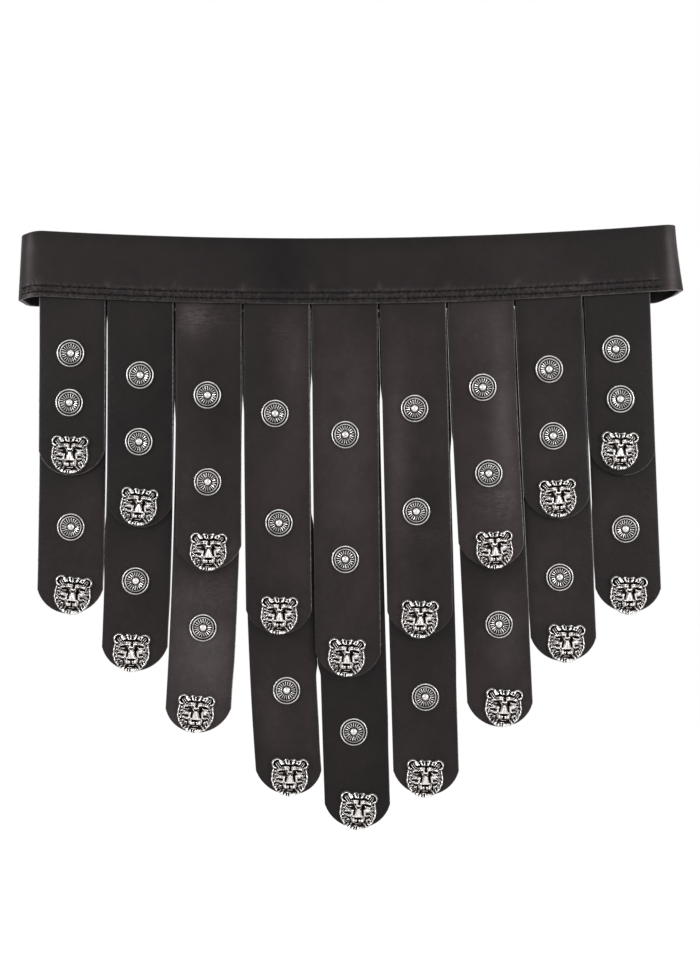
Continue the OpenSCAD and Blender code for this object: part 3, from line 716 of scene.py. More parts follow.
def band_cutters():
    """Holes in the tail and in the run behind it, the prong's hole at both ends of its swing, and its slot."""
    out = LOOP_DEPTH / 2
    cutters = [rod([CLIMB_X + n * HOLE_PITCH, out + low, 0], [CLIMB_X + n * HOLE_PITCH, out + high, 0], HOLE_R)
               for n, low, high in ((-1, -0.0001, 0.006), (-2, -0.0001, 0.006),
                                    (2, -0.006, 0.002), (3, -0.006, 0.002))]
    way = FRAME_TILT + math.asin((BAR_R + PRONG_R + FIT) / FRAME_REACH)
    reach = (CLIMB_X - BAR_X) / math.cos(way) + 0.008
    cutters += [rod([BAR_X, BAR_Y, 0], [BAR_X + reach * math.cos(a), BAR_Y + reach * math.sin(a), 0], PRONG_HOLE_R)
                for a in (way, way + PRONG_SWING)]
    cutters.append(brick([BAR_X - SLOT_HALF, BAR_Y - SLOT_HALF, -SLOT_HALF / 2],
                         [BAR_X + SLOT_HALF, out + FIT / 2, SLOT_HALF / 2]))
    return cutters


class APRON_OT_band(Operator):
    """Waist band: one long strap that goes round the loop, with its fold, holes and rounded tail"""
    bl_idname = "apron.band"
    bl_label = "Waist band"

    def execute(self, context):
        r = sizes().edge_round
        rows, *line = band_plan()
        height = np.concatenate([[0], np.linspace(0.0008, 0.0110, 22),
                                 np.linspace(0.0122, BAND_H - 2 * r - 0.0012, 26), [BAND_H - 2 * r]]) + r
        along, up = np.meshgrid(rows[1:-1], height, indexing="ij")
        along = round_end(along, up - BAND_H / 2, rows[-1], TAIL_TIP_R, 0.03)
        shape, edge, flat = cut_leather(along, up, BAND_T, r, band_lay(*line))
        piece = make_piece("band_strap", shape, band_leather(), "root", ["waist_band"],
                           band_values(shape[0][:, 0], edge, *flat))
        for cutter in band_cutters():
            punch(piece, cutter)
        piece.data.set_sharp_from_angle(angle=math.radians(40))
        return {"FINISHED"}


# The hanging strips

def strip_lay(k, kind, layer_y):
    """Turns a place across a strip, a drop below the band and a depth into points.

    The middle line drifts sideways as a power of the drop. The sheet waves slowly, its sides fall back a
    little, and all that fades out in the sewn head.
    """
    length, sway, bend = kind["length"][k], kind["sway"][k], kind["bend"][k]
    x0, z0 = column_x(k), band_z(column_x(k), 0)
    wave = sizes().wave

    def lay(across, drop, depth):
        free = smooth(drop, 0.006, 0.05)
        slow = np.sin(across * 75 + k * 1.7) * np.sin(drop * 31 + k * 2.3)
        slow += 0.7 * np.sin(drop * 67 + across * 33 + k)
        face = depth < STRIP_T / 2
        side = np.abs(across) / (STRIP_W / 2)
        worn = face * (0.00035 * side ** 6 + 0.00025 * smooth(drop, length - 0.012, length))
        crown = -0.00022 * (1 - side ** 2)
        x = x0 + across + sway * (np.maximum(drop, 0) / length) ** bend
        return np.stack([x, layer_y + depth + free * (wave * slow + worn + crown), z0 - drop], -1)
    return lay


def strip_grid(k, kind, top, r):
    """Flat grid of one strip: columns across, and rows that change from straight at the top to the tip's arc."""
    length = kind["length"][k]
    a, d = np.meshgrid(np.linspace(-1, 1, 30) * (STRIP_W / 2 - r),
                       np.linspace(top + r, length - r, int((length - top) / 0.0018)))
    return a, round_end(d, a, length, TIP_R - r, 0.045)


def widened(k, a, d):
    """A rear strip's grid with its sides moved out towards its neighbours, so that they close the gaps beside it.

    The gap is the columns' spacing less a strip, plus the difference of the two strips' drifts at that drop. Where
    it closes, each side takes half of it; where it stays open, only the strip on its left reaches into it.
    """
    def drift(n):
        return REAR["sway"][n] * (np.maximum(d, 0) / REAR["length"][n]) ** REAR["bend"][n]
    for side, n in ((-1, k - 1), (1, k)):
        if 0 <= n < COLUMNS - 1:
            gap = PITCH - STRIP_W + drift(n + 1) - drift(n)
            ends, again, until = CLOSED[n]
            second = smooth(d, again, again + 0.01) * (1 - smooth(d, until, until + 0.01))
            closed = np.maximum(1 - smooth(d, ends, ends + 0.02), second)
            left = min(REAR["length"][n], REAR["length"][n + 1]) - d
            reach = closed * np.maximum(gap / 2 - 0.000015, 0)
            if side > 0:
                reach = reach + (1 - closed) * OPEN_REACH * smooth(left, 0.03, 0.06)
            a = a + side * np.clip(side * a / (STRIP_W / 2), 0, 1) * reach * smooth(left, 0.02, 0.04)
    return a


def strip_look(k, name, kind, edge, a, d):
    """The leather's values on a strip: slow waves of tone, painted sheen as hills, darker sides, and creases.

    Its right edge gets more of the paler edge colour than its left, a painted highlight. Where the front strip
    covers a rear one, the rear one is darker, a painted shadow of the front tip, and has no paler edge.
    """
    def marks(table):
        return sum(much * hill(a, d, *where) for n, *where, much in table[name] if n == k)
    length = kind["length"][k]
    t, down = a / (STRIP_W / 2), d / length
    # Painted highlight on the cut edges: strong right, weak left and near the tip; the first strip's left edge is
    # pale fibre.
    edge = edge * np.where(t > 0, 1.0, 1.8 if k == 0 else 0.2)
    edge = edge * (1 - 0.6 * smooth(d, length - 0.030, length - 0.010))
    tone = kind["tone"][k] * (1 + 0.14 * np.sin(6.6 * down + 1.3 * k) + 0.12 * np.sin(2.2 * t + 2.1 * k)
                              + 0.06 * np.sin(19 * down + 2 * t + k))
    # Painted sheen: the hills lighten the tone.
    tone = (tone + marks(PAINTED_SHEEN)) * (1 - 0.35 * np.abs(t) ** 8)
    if name == "rear":
        tip = FRONT["length"][k]
        # Painted shadow of the front strip's tip on the rear strip.
        tone = tone * (0.70 + 0.30 * smooth(d, tip - 0.004, tip + 0.020))
        edge = edge * smooth(d, tip - 0.020, tip + 0.010)
    return leather_values(edge, np.maximum(tone, 0.3), 0.04 + marks(CREASES))


class APRON_OT_front_strips(Operator):
    """Front strips: each is one sheet from its sewn head to its tip"""
    bl_idname = "apron.front_strips"
    bl_label = "Front strips"

    def execute(self, context):
        r = sizes().edge_round
        for k in range(COLUMNS):
            a, d = strip_grid(k, FRONT, -HEAD_H, r)
            shape, edge, flat = cut_leather(a, d, STRIP_T, r, strip_lay(k, FRONT, FRONT_Y))
            piece = make_piece(f"strap_front_{k + 1}", shape, strap_leather(), None,
                               [f"front_strip_{k + 1}"], strip_look(k, "front", FRONT, edge, *flat[:2]))
            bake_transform(piece)
        return {"FINISHED"}


class APRON_OT_rear_strips(Operator):
    """Rear strips: longer sheets behind the front ones, with a rolled top, and the heads sewn over them"""
    bl_idname = "apron.rear_strips"
    bl_label = "Rear strips"

    def execute(self, context):
        r = sizes().edge_round
        heads, edges = [], []
        for k in range(COLUMNS):
            hinge = band_z(column_x(k), 0) - hinge_z(k)
            a, d = strip_grid(k, REAR, hinge - TOP_OVER, r)
            shape, edge, flat = cut_leather(widened(k, a, d), d, STRIP_T, r, strip_lay(k, REAR, REAR_Y))
            make_piece(f"strap_rear_{k + 1}", shape, strap_leather(), f"rear_{k + 1}",
                       [f"rear_strip_{k + 1}"], strip_look(k, "rear", REAR, edge, *flat[:2]))
            a, d = np.meshgrid(np.linspace(-1, 1, 16) * (STRIP_W / 2 - r),
                               np.linspace(-HEAD_H + r, hinge - HEAD_OVER - r, 18))
            head, edge, _ = cut_leather(a, d, STRIP_T, r, strip_lay(k, REAR, HEAD_Y))
            heads.append(head)
            edges.append(edge)
        make_piece("strap_heads", join(*heads), strap_leather(), "root", ["strip_heads"],
                   leather_values(np.concatenate(edges), 0.95))
        return {"FINISHED"}


# Stitching

def stitch_run(places, length, width):
    """Many stitches as one shape: each is a spindle of six sides that comes up out of the leather and goes back.

    places turns steps along, across and out of the leather, for all the stitches at once, into points.
    """
    rise, sides = 0.0003, 6
    t = np.array([-1.0, -0.8, -0.35, 0.35, 0.8, 1.0])[:, None]
    fat = np.array([0.35, 0.8, 1.0, 1.0, 0.8, 0.35])[:, None]
    ring = circle(sides, width / 2, 0.5)
    along = np.broadcast_to(t * length / 2, (len(t), sides))
    out = fat * ring[:, 1] * 0.72 + rise * (0.25 - t ** 4)
    points = places(along.ravel(), (fat * ring[:, 0]).ravel(), out.ravel())
    shift = (np.arange(len(points)) * points.shape[1])[:, None, None]
    one = (quads(len(t), sides, False, True), end_caps(sides, (len(t) - 1) * sides))
    return points.reshape(-1, 3), [(f[None] + shift).reshape(-1, f.shape[1]) for f in one]


class APRON_OT_seams(Operator):
    """Seams: two rows of single stitches on the band's face and behind the heads, and two on the fold"""
    bl_idname = "apron.seams"
    bl_label = "Seams"

    def execute(self, context):
        s = sizes()
        lay = band_lay(*band_plan()[1:])
        start, stop = band_front()
        back_y, fold_y = HEAD_Y + STRIP_T, BAR_Y - BAR_R - FOLD_GAP - BAND_T
        shapes = []
        for row in SEAM_ROWS:
            at = np.arange(start, stop, s.stitch)
            stray = np.sin(at * 5300 + row * 900) * 0.00020 + np.sin(at * 211 + row * 700) * 0.00015

            def on_band(along, across, out, at=at, row=row, stray=stray):
                place = at[:, None] + along
                high = row + stray[:, None] + across + 0.06 * along
                deep = np.broadcast_to(-out, place.shape)
                return lay(place.ravel(), high.ravel(), deep.ravel()).reshape(len(at), -1, 3)
            shapes.append(stitch_run(on_band, s.stitch * 0.58, s.thread))
            for k in range(COLUMNS):
                at = column_x(k) + np.arange(-STRIP_W / 2 + 0.003, STRIP_W / 2 - 0.002, s.stitch)

                def behind(along, across, out, at=at, row=row):
                    px = at[:, None] + along
                    return np.stack([px, np.broadcast_to(back_y + out, px.shape), band_z(px, row + across)], -1)
                shapes.append(stitch_run(behind, s.stitch * 0.82, s.thread))
        for row in FOLD_ROWS:
            at = np.arange(-BAND_H / 2 + 0.005, BAND_H / 2 - 0.004, s.stitch)

            def on_fold(along, across, out, at=at, row=row):
                pz = at[:, None] + along
                px = np.broadcast_to(BAR_X - FOLD_LEN + row + across, pz.shape)
                return np.stack([px, np.broadcast_to(fold_y - out, pz.shape), pz], -1)
            shapes.append(stitch_run(on_fold, s.stitch * 0.82, s.thread))
        make_piece("seam_stitches", join(*shapes), thread_wax("waxed_thread", colours().thread),
                   "root", ["seam_threads"], crease=80)
        return {"FINISHED"}


# Castings

def rivet_places(node, behind):
    """Middles of the caps behind a layer, from the solids: the points past that depth, parted at gaps in Z."""
    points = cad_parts[node].data.vertices
    co = np.empty(3 * len(points), np.float32)
    points.foreach_get("co", co)
    co = co.astype(float).reshape(-1, 3)
    co = co[co[:, 1] > behind + 0.0001]
    order = co[np.argsort(-co[:, 2])]
    parts = np.split(order, np.where(-np.diff(order[:, 2]) > 0.01)[0] + 1)
    return [((p[:, 0].min() + p[:, 0].max()) / 2, (p[:, 2].min() + p[:, 2].max()) / 2) for p in parts]


def set_on_layer(x, z, height, place, layer_y, turn=0):
    """Puts a casting drawn flat in millimetres on a layer: turned clockwise, and its height taken towards -Y."""
    a = math.radians(turn)
    x, z = x * MM, z * MM
    return np.stack([place[0] + x * math.cos(a) + z * math.sin(a), layer_y - height * MM,
                     place[1] + z * math.cos(a) - x * math.sin(a)], -1)


def rivet_cap(place, behind):
    """Domed cap behind the leather: a shallow arc turned round its middle, with a flat seat."""
    ring = np.array([1.0, 1.0, 0.9, 0.7, 0.45, 0.2])[:, None] * CAP_R
    lift = np.array([0.0, 0.25, 0.55, 0.8, 0.95, 1.0])[:, None] * CAP_H
    way = circle(40)
    points = np.stack([place[0] + ring * way[:, 0], np.repeat(behind + lift, len(way), 1),
                       place[1] + ring * way[:, 1]], -1).reshape(-1, 3)
    return points, [quads(len(ring), len(way), False, True), end_caps(len(way), (len(ring) - 1) * len(way))]


def rosette_relief(r, a, flutes):
    """Height of a rosette at a radius and angle, in millimetres, and its share of silver.

    From outside: rim, groove, ring, fluted dish, plain hollow and boss. Rings are flat-topped bells of the radius,
    flutes a cosine of the angle, and the boss half an ellipse. The silver is lighter towards one side, a painted
    highlight, and on the boss it falls from the middle to the edge, a painted reflection.
    """
    def band(middle, width):
        return np.exp(-((r - middle) / width) ** 4)
    cut = smooth(np.cos(a * flutes), -0.05, 0.70)
    h = 0.55 + 0.32 * np.clip(r - 3.6, 0, 3.8)
    h += smooth(r, 3.0, 3.8) * (1 - smooth(r, 6.6, 6.9)) * (1.15 * cut - 0.65)
    h += 0.35 * band(7.72, 0.40) - 1.10 * smooth(r, 8.2, 8.5) + 1.45 * band(9.75, 0.60)
    h += np.where(r < 2.85, 1.85 * np.sqrt(np.clip(1 - (r / 2.87) ** 2, 0, 1)), 0)
    # Painted highlight: one side of each rosette gets more silver, with a smaller uneven change round it.
    worn = 1 + 0.16 * np.cos(a - 2.3) + 0.08 * np.cos(3 * a + 1)
    silver = 0.01 + 0.74 * worn * band(9.70, 0.66) + 0.56 * worn * band(7.72, 0.42) + 0.14 * band(8.7, 0.45)
    silver += (1.12 * worn * cut * smooth(r, 2.8, 3.5) * (1 - smooth(r, 6.4, 6.9))
               * (1 - 0.25 * smooth(r, 4.5, 6.3)))
    # The boss's silver falls from its middle to its edge: a painted reflection.
    return h, silver + np.where(r < 2.8, 0.86 - 0.55 * (r / 2.8) ** 2.5, 0)


def rosette_shape(place, layer_y, turn, flutes):
    """One rosette: its relief on rings and rays, a rounded wall and a flat back. Returns shape and silver."""
    r = np.concatenate([np.linspace(0.35, 2.83, 8), np.linspace(2.90, 3.9, 6), np.linspace(4.2, 7.3, 8),
                        np.linspace(7.42, 8.28, 6), np.linspace(8.42, 9.08, 4), np.linspace(9.2, 10.3, 8)])
    a = np.linspace(0, 2 * math.pi, 192, endpoint=False)
    h, silver = rosette_relief(*np.meshgrid(r, a + math.radians(turn), indexing="ij"), flutes)
    wall = np.ones((1, len(a)))
    r = np.append(r, [10.38, 10.3])[:, None]
    h, silver = np.vstack([h, 0.8 * wall, 0 * wall]), np.vstack([silver, 0.5 * wall, 0 * wall])
    rows, cols = h.shape
    flat_x, flat_z = (np.append((r * way(a)).ravel(), [0, 0]) for way in (np.cos, np.sin))
    points = set_on_layer(flat_x, flat_z, np.append(h.ravel(), [h[0, 0] + 0.02, 0]), place, layer_y)
    ray, after = np.arange(cols), (np.arange(cols) + 1) % cols
    hub, seat, last = rows * cols, rows * cols + 1, (rows - 1) * cols
    caps = np.concatenate([np.stack([np.full(cols, hub), after, ray], -1),
                           np.stack([np.full(cols, seat), last + ray, last + after], -1)])
    return (points, [quads(rows, cols, False, True), caps]), np.append(silver.ravel(), [1, 0])


def place_castings(name, body, node, layer_y, shapes, values):
    """One piece for the castings of a node, with their rivet caps behind."""
    caps = [rivet_cap(p, layer_y + STRIP_T) for p in rivet_places(node, layer_y + STRIP_T)]
    silver = np.concatenate([*values, *(np.full(len(c[0]), 0.55) for c in caps)])
    c = colours()
    return make_piece(name, join(*shapes, *caps), antique_silver("oxidised_casting", c.silver, c.oxide), body,
                      [node], {"silver": silver}, crease=60)


class APRON_OT_rosettes(Operator):
    """Rosettes: cast round bosses with a fluted dish, two on each front strip and one on each rear strip"""
    bl_idname = "apron.rosettes"
    bl_label = "Rosettes"

    def execute(self, context):
        for k in range(COLUMNS):
            for side, many, layer_y in (("front", "rosettes", FRONT_Y), ("rear", "rosette", REAR_Y)):
                node = f"{side}_{many}_{k + 1}"
                made = [rosette_shape(p, layer_y, 7 * k + 23 * i, sizes().flutes)
                        for i, p in enumerate(rivet_places(node, layer_y + STRIP_T))]
                place_castings(f"{many}_{side}_{k + 1}", f"{side}_{k + 1}", node, layer_y, *zip(*made))
        return {"FINISHED"}


def ridge(x, z, ax, az, bx, bz, width):
    """1 along the line from (ax, az) to (bx, bz), falling off as a bell with the distance from it."""
    t = np.clip(((x - ax) * (bx - ax) + (z - az) * (bz - az)) / ((bx - ax) ** 2 + (bz - az) ** 2), 0, 1)
    return np.exp(-((x - ax - t * (bx - ax)) ** 2 + (z - az - t * (bz - az)) ** 2) / width ** 2)


# The masks are drawn flat, in millimetres. Ears: middle and radius.
EARS = ((-9.1, 10.0, 4.5), (10.2, 9.5, 4.3))

# Height, width, and the two ends of each ridge or groove.
LINES = (
    # crown tufts, parted in the middle
    (1.5, 0.95, -6.2, 12.3, -4.4, 10.3), (1.5, 1.00, -3.2, 13.3, -2.0, 10.2),
    (1.2, 0.70, -0.4, 12.6, -0.2, 10.2), (1.5, 1.00, 3.9, 13.4, 2.6, 10.2), (1.5, 0.95, 6.6, 12.2, 5.1, 10.2),
    (-1.6, 0.50, 1.15, 14.0, 1.0, 10.2), (-1.1, 0.42, -4.7, 13.2, -3.3, 10.2),
    (-1.1, 0.42, 5.5, 13.0, 4.0, 10.2), (-0.9, 0.40, -1.4, 13.3, -1.1, 10.4),
    # dark wavy band under them, a fold of the forehead, and the slit between the brows
    (-1.4, 0.62, -7.0, 8.6, -3.0, 9.2), (-1.6, 0.62, -3.0, 9.2, 1.0, 8.5), (-1.6, 0.62, 1.0, 8.5, 4.6, 9.2),
    (-1.4, 0.62, 4.6, 9.2, 8.4, 8.2), (0.5, 0.55, -5.4, 7.7, -1.4, 8.0), (0.5, 0.55, 3.2, 8.0, 6.4, 7.7),
    (-1.8, 0.55, 0.95, 8.6, 0.85, 5.2),
    # brows, bent down to the root of the nose
    (1.7, 0.72, -8.6, 5.6, -4.4, 6.3), (1.8, 0.85, -4.4, 6.3, -1.0, 6.5), (1.9, 0.90, 2.6, 6.3, 5.8, 6.6),
    (1.7, 0.75, 5.8, 6.6, 9.4, 5.6), (0.8, 0.60, -1.0, 5.6, -0.9, 3.9), (0.8, 0.60, 2.2, 5.4, 1.8, 3.9),
    (-1.2, 0.42, -0.9, 3.0, 0.4, 2.5), (-1.2, 0.42, 0.4, 2.5, 1.8, 3.0),
    # lids
    (-1.8, 0.50, -7.8, 4.3, -4.2, 4.9), (1.0, 0.45, -7.6, 3.5, -5.0, 3.3), (-1.8, 0.50, 8.8, 4.2, 5.2, 4.9),
    (0.8, 0.45, 8.6, 3.3, 6.4, 3.5),
    # sides of the nose
    (-1.4, 0.60, -2.4, 1.8, -3.0, -2.6), (-1.6, 0.65, 3.1, 2.0, 3.9, -2.6),
    # hollows under the cheeks
    (-1.5, 0.60, -8.6, -1.4, -5.4, -1.9), (-1.1, 0.55, 9.2, -1.2, 6.4, -1.9),
    (0.7, 0.5, -8.6, -2.9, -5.6, -3.9), (-0.9, 0.5, -8.8, -4.2, -6.4, -5.2),
    (0.7, 0.5, -8.6, -5.6, -6.4, -6.4), (0.8, 0.5, 9.0, -2.6, 6.2, -3.4), (-0.9, 0.5, 9.3, -3.8, 7.2, -5.0),
    (0.8, 0.5, 9.3, -5.2, 7.2, -6.3),
    # nose pad, parting and mouth
    (-2.0, 0.60, -1.7, -5.2, 2.2, -5.2), (-1.8, 0.50, 0.2, -6.2, 0.2, -8.4),
    (-1.3, 0.50, -3.2, -9.2, 0.0, -8.7), (-1.3, 0.50, 0.4, -8.7, 3.8, -9.2),
    (0.5, 0.45, -1.4, -9.8, 1.8, -9.8), (-1.5, 0.75, -3.4, -10.3, 3.8, -10.3),
    (-1.0, 0.55, -5.7, -4.8, -5.2, -8.6), (-1.0, 0.55, 6.0, -4.8, 5.5, -8.6),
    # chin tufts
    (1.5, 0.70, -7.0, -9.6, -8.2, -11.2), (1.5, 0.80, -5.3, -11.3, -6.2, -12.8),
    (1.5, 0.80, -3.1, -12.2, -3.6, -13.6), (1.6, 0.90, 0.6, -12.4, 0.5, -13.9),
    (1.5, 0.80, 3.7, -12.1, 4.2, -13.5), (1.5, 0.80, 6.2, -10.7, 7.2, -12.2),
    (1.2, 0.6, -1.4, -12.6, -1.6, -13.8), (1.2, 0.6, 2.3, -12.4, 2.5, -13.6),
    (-0.8, 0.38, -4.3, -11.6, -4.9, -13.4), (-1.5, 0.42, -2.2, -12.0, -2.5, -14.0),
    (-1.5, 0.42, -0.5, -12.0, -0.6, -14.2), (-0.8, 0.38, 5.2, -11.4, 5.8, -13.2),
)

# Height, middle and reach across and up: sockets, cheeks and muzzle.
HILLS = (
    (-2.3, -3.8, 2.7, 1.5, 1.7), (-2.5, 3.9, 2.7, 1.3, 1.6), (0.8, -3.9, 3.0, 0.6, 0.5),
    (2.6, -7.2, 0.6, 1.8, 1.1), (2.8, 7.6, 1.0, 2.2, 1.6), (2.7, -3.0, -6.8, 1.5, 1.7),
    (2.7, 3.4, -6.8, 1.5, 1.7), (0.9, 0.3, -6.5, 1.5, 0.6), (-0.4, -7.2, -5.6, 2.2, 2.8),
    (-0.4, 7.6, -5.2, 2.2, 2.8),
)


def mask_outline(a):
    """Reach of the mask's outline in a direction: the furthest of a broad head with tufts on top and two ears."""
    c, s = np.cos(a), np.sin(a)
    head = np.where(s >= 0, ((np.abs(c) / 13.7) ** 2.3 + (np.abs(s) / 13.5) ** 2.3) ** (-1 / 2.3),
                    ((np.abs(c) / 14.0) ** 2 + (np.abs(s) / 14.6) ** 2) ** -0.5)
    for ex, ez, er in EARS:
        along = ex * c + ez * s
        left = er ** 2 - (ex ** 2 + ez ** 2 - along ** 2)
        head = np.maximum(head, np.where((left > 0) & (along > 0), along + np.sqrt(np.maximum(left, 0)), 0))
    head = head + smooth(s, 0.88, 0.94) * (0.55 * np.cos((a - 1.76) * 14) - 0.1)
    return head + 0.16 * np.cos(a * 19) * smooth(-s, -0.35, 0.1)


def mask_relief(x, z, part, a):
    """Height of a lion mask in millimetres.

    A dome of the share of the way out, then ridges and grooves along lines, hills, a nose that widens downwards,
    locks of the ruff as broken radial waves, a rim, and two ears, each a shell round a hollow with tufts in it.
    """
    h = 1.5 + 2.3 * (1 - part ** 2.2)
    for high, width, *ends in LINES:
        h = h + high * ridge(x, z, *ends, width)
    for high, *where in HILLS:
        h = h + high * hill(x, z, *where)
    wide = 1.35 + 1.5 * smooth(-z, -1.6, 4.4)
    h += 2.2 * np.exp(-(np.abs(x - 0.4) / wide) ** 3) * smooth(z, -4.9, -3.9) * (1 - smooth(z, 1.4, 3.4))
    side = smooth(np.abs(x), 5.6, 8.0) * (1 - smooth(z, 3.4, 5.4)) * smooth(part, 0.55, 0.68)
    lock = np.cos(a * 27 + 5.0 * part * np.sign(np.cos(a))) * (0.65 + 0.75 * np.cos(part * 31 + a * 9))
    lock += 0.47 * np.cos(x * 4.3 + z * 1.7) * np.cos(z * 4.7 - x * 1.3)
    h += 0.70 * side * lock * (1 - smooth(part, 0.86, 0.92))
    rim = np.exp(-((part - 0.95) / 0.035) ** 4) * (0.75 + 0.35 * np.cos(a * 23))
    h += 0.75 * rim * (1 - 0.6 * smooth(z, 4.0, 6.0))
    h -= 0.4 * np.exp(-((part - 0.89) / 0.022) ** 2) * smooth(z, -8.0, -4.0)
    fringe = np.exp(-((part - 0.92) / 0.07) ** 4) * (0.62 + 0.45 * np.cos(a * 41 + 4 * part))
    h += 0.85 * smooth(-z, 3.5, 7.5) * fringe
    for ex, ez, er in EARS:
        d, way = np.hypot(x - ex, z - ez), np.sign(ex)
        out = (way * (x - ex) - 0.5 * (z - ez)) / np.maximum(d, 0.01)
        h += 1.6 * np.exp(-((d - er * 0.80) / 0.75) ** 2) * smooth(way * (x - ex) + 0.9 * (z - ez), -2.2, 0.5)
        h -= 1.1 * np.exp(-((d - er * 0.50) / 0.38) ** 2) * smooth(out, -0.2, 0.4)
        for i in (-1.0, 0.0, 1.0):
            ax, az = ex + way * (1.1 * i - 1.2), ez - 1.1 * i - 0.3
            h += 1.4 * ridge(x, z, ax - way * 1.0, az - 1.3, ax + way * 0.9, az + 1.3, 0.52)
            h -= 1.0 * ridge(x, z, ax - way * 0.4, az - 1.9, ax + way * 1.4, az + 0.7, 0.30)
    return np.maximum(h, 0.7)


def spread(h, reach):
    """Mean of a grid over a square of neighbours, by two passes of running means."""
    out, steps = h, range(2 * reach + 1)
    for axis in (0, 1):
        first, last = (np.repeat(out.take([i], axis), reach, axis) for i in (0, -1))
        padded = np.concatenate([first, out, last], axis)
        out = sum(np.roll(padded, -i, axis) for i in steps).take(range(h.shape[axis]), axis) / len(steps)
    return out


def mask_shape(place, layer_y, turn, n=131):
    """One lion mask. A square grid goes onto the outline: the larger of its two steps is the share of the way out,
    and the other runs the angle evenly, so the grid's own edge is the mask's edge. Returns shape and silver."""
    u, v = np.meshgrid(np.linspace(-1, 1, n), np.linspace(-1, 1, n))
    tall = np.abs(v) > np.abs(u)
    part = np.maximum(np.abs(u), np.abs(v))
    with np.errstate(divide="ignore", invalid="ignore"):
        a = np.where(tall, math.pi / 2 - math.pi / 4 * u / v, math.pi / 4 * v / u)
    a = np.where(tall, a + np.where(v < 0, math.pi, 0), a + np.where(u < 0, math.pi, 0))
    a = np.where(part == 0, 0, a)
    reach = part * mask_outline(a)
    x, z = reach * np.cos(a), reach * np.sin(a)
    h = mask_relief(x, z, part, a)
    fine, broad = h - spread(h, 3), h - spread(h, 8)
    silver = np.clip(0.30 + 1.5 * fine + 0.80 * broad + 0.13 * (h - 2.4), 0, 1)
    silver = np.where(part > 0.95, np.maximum(silver, 0.45), silver)
    edge = grid_rim(n, n)
    ex, ez = x.ravel()[edge], z.ravel()[edge]
    flat_x, flat_z = (np.concatenate([flat.ravel(), rim * 1.012, rim * 1.005, [0]])
                      for flat, rim in ((x, ex), (z, ez)))
    high = np.concatenate([h.ravel(), 0.55 * h.ravel()[edge], 0 * ex, [0]])
    points = set_on_layer(flat_x, flat_z, high, place, layer_y, turn)
    rings = np.vstack([edge, n * n + np.arange(2 * len(edge)).reshape(2, -1)])
    wall = rings.ravel()[quads(3, len(edge), False, True)]
    seat = np.stack([np.full(len(edge), len(points) - 1), rings[2], np.roll(rings[2], -1)], -1)
    faces = [np.concatenate([quads(n, n), wall[:, ::-1]]), seat[:, ::-1]]
    values = np.concatenate([silver.ravel(), 0.6 * silver.ravel()[edge] + 0.1, 0 * ex, [0]])
    return (points, faces), values


class APRON_OT_masks(Operator):
    """Lion masks: one cast mask near each strip's tip"""
    bl_idname = "apron.masks"
    bl_label = "Lion masks"

    def execute(self, context):
        for k in range(COLUMNS):
            for kind, side, layer_y in ((FRONT, "front", FRONT_Y), (REAR, "rear", REAR_Y)):
                node = f"{side}_lion_{k + 1}"
                place = rivet_places(node, layer_y + STRIP_T)[0]
                shape, silver = mask_shape(place, layer_y, kind["turn"][k])
                place_castings(f"mask_{side}_{k + 1}", f"{side}_{k + 1}", node, layer_y, [shape], [silver])
        return {"FINISHED"}


# Buckle and keeper

class APRON_OT_buckle(Operator):
    """Buckle: a round-rod frame, its prong in the same steel, and a leather keeper loop"""
    bl_idname = "apron.buckle"
    bl_label = "Buckle"

    def execute(self, context):
        steel = buckle_steel("drawn_rod", colours().steel)
        line, normal = fine_loop(*rounded_box_loop(FRAME_REACH / 2 + 1e-6, FRAME_HALF, FRAME_CORNER_R), 0.0012)
        tilt, up = np.array([math.cos(FRAME_TILT), math.sin(FRAME_TILT), 0]), np.array([0, 0, 1])
        path = np.array([BAR_X, BAR_Y, 0]) + tilt * FRAME_REACH / 2 + line[:, :1] * tilt + line[:, 1:] * up
        across = normal[:, :1] * tilt + normal[:, 1:] * up
        ring = tube(path, across, np.tile([-tilt[1], tilt[0], 0], (len(path), 1)), circle(28, BAR_R))
        make_piece("buckle_ring", ring, steel, "root", ["buckle_frame"])
        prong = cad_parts["buckle_prong"]
        prong.data.materials.clear()
        prong.data.materials.append(steel)

        low, high = (np.array(corner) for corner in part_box("keeper_loop"))
        middle, half = (low + high) / 2, (high - low) / 2 - KEEPER_T / 2
        line, normal = fine_loop(*rounded_box_loop(half[1], half[2], KEEPER_CORNER_R), 0.0015)
        path = np.column_stack([np.full(len(line), KEEPER_X), middle[1:] + line])
        across = np.column_stack([0 * line[:, 0], normal])
        section, _ = fine_loop(*rounded_box_loop(KEEPER_T / 2, KEEPER_W / 2, 0.0006, 4), 0.0015)
        edge = np.tile((np.abs(section[:, 1]) > KEEPER_W / 2 - 0.0005).astype(float), len(path))
        strap = tube(path, across, np.tile([1.0, 0, 0], (len(path), 1)), section)
        make_piece("keeper_strap", strap, band_leather(), "keeper", ["keeper_loop"],
                   leather_values(edge, 1.05))
        return {"FINISHED"}


# Floor, light and camera

# The camera looks along +Y. VIEW_WIDTH is what it sees across at the strips' front faces.
VIEW_DISTANCE = 1.225
VIEW_WIDTH = 0.525
VIEW_Z = -0.164
FLOOR_Z = -0.75


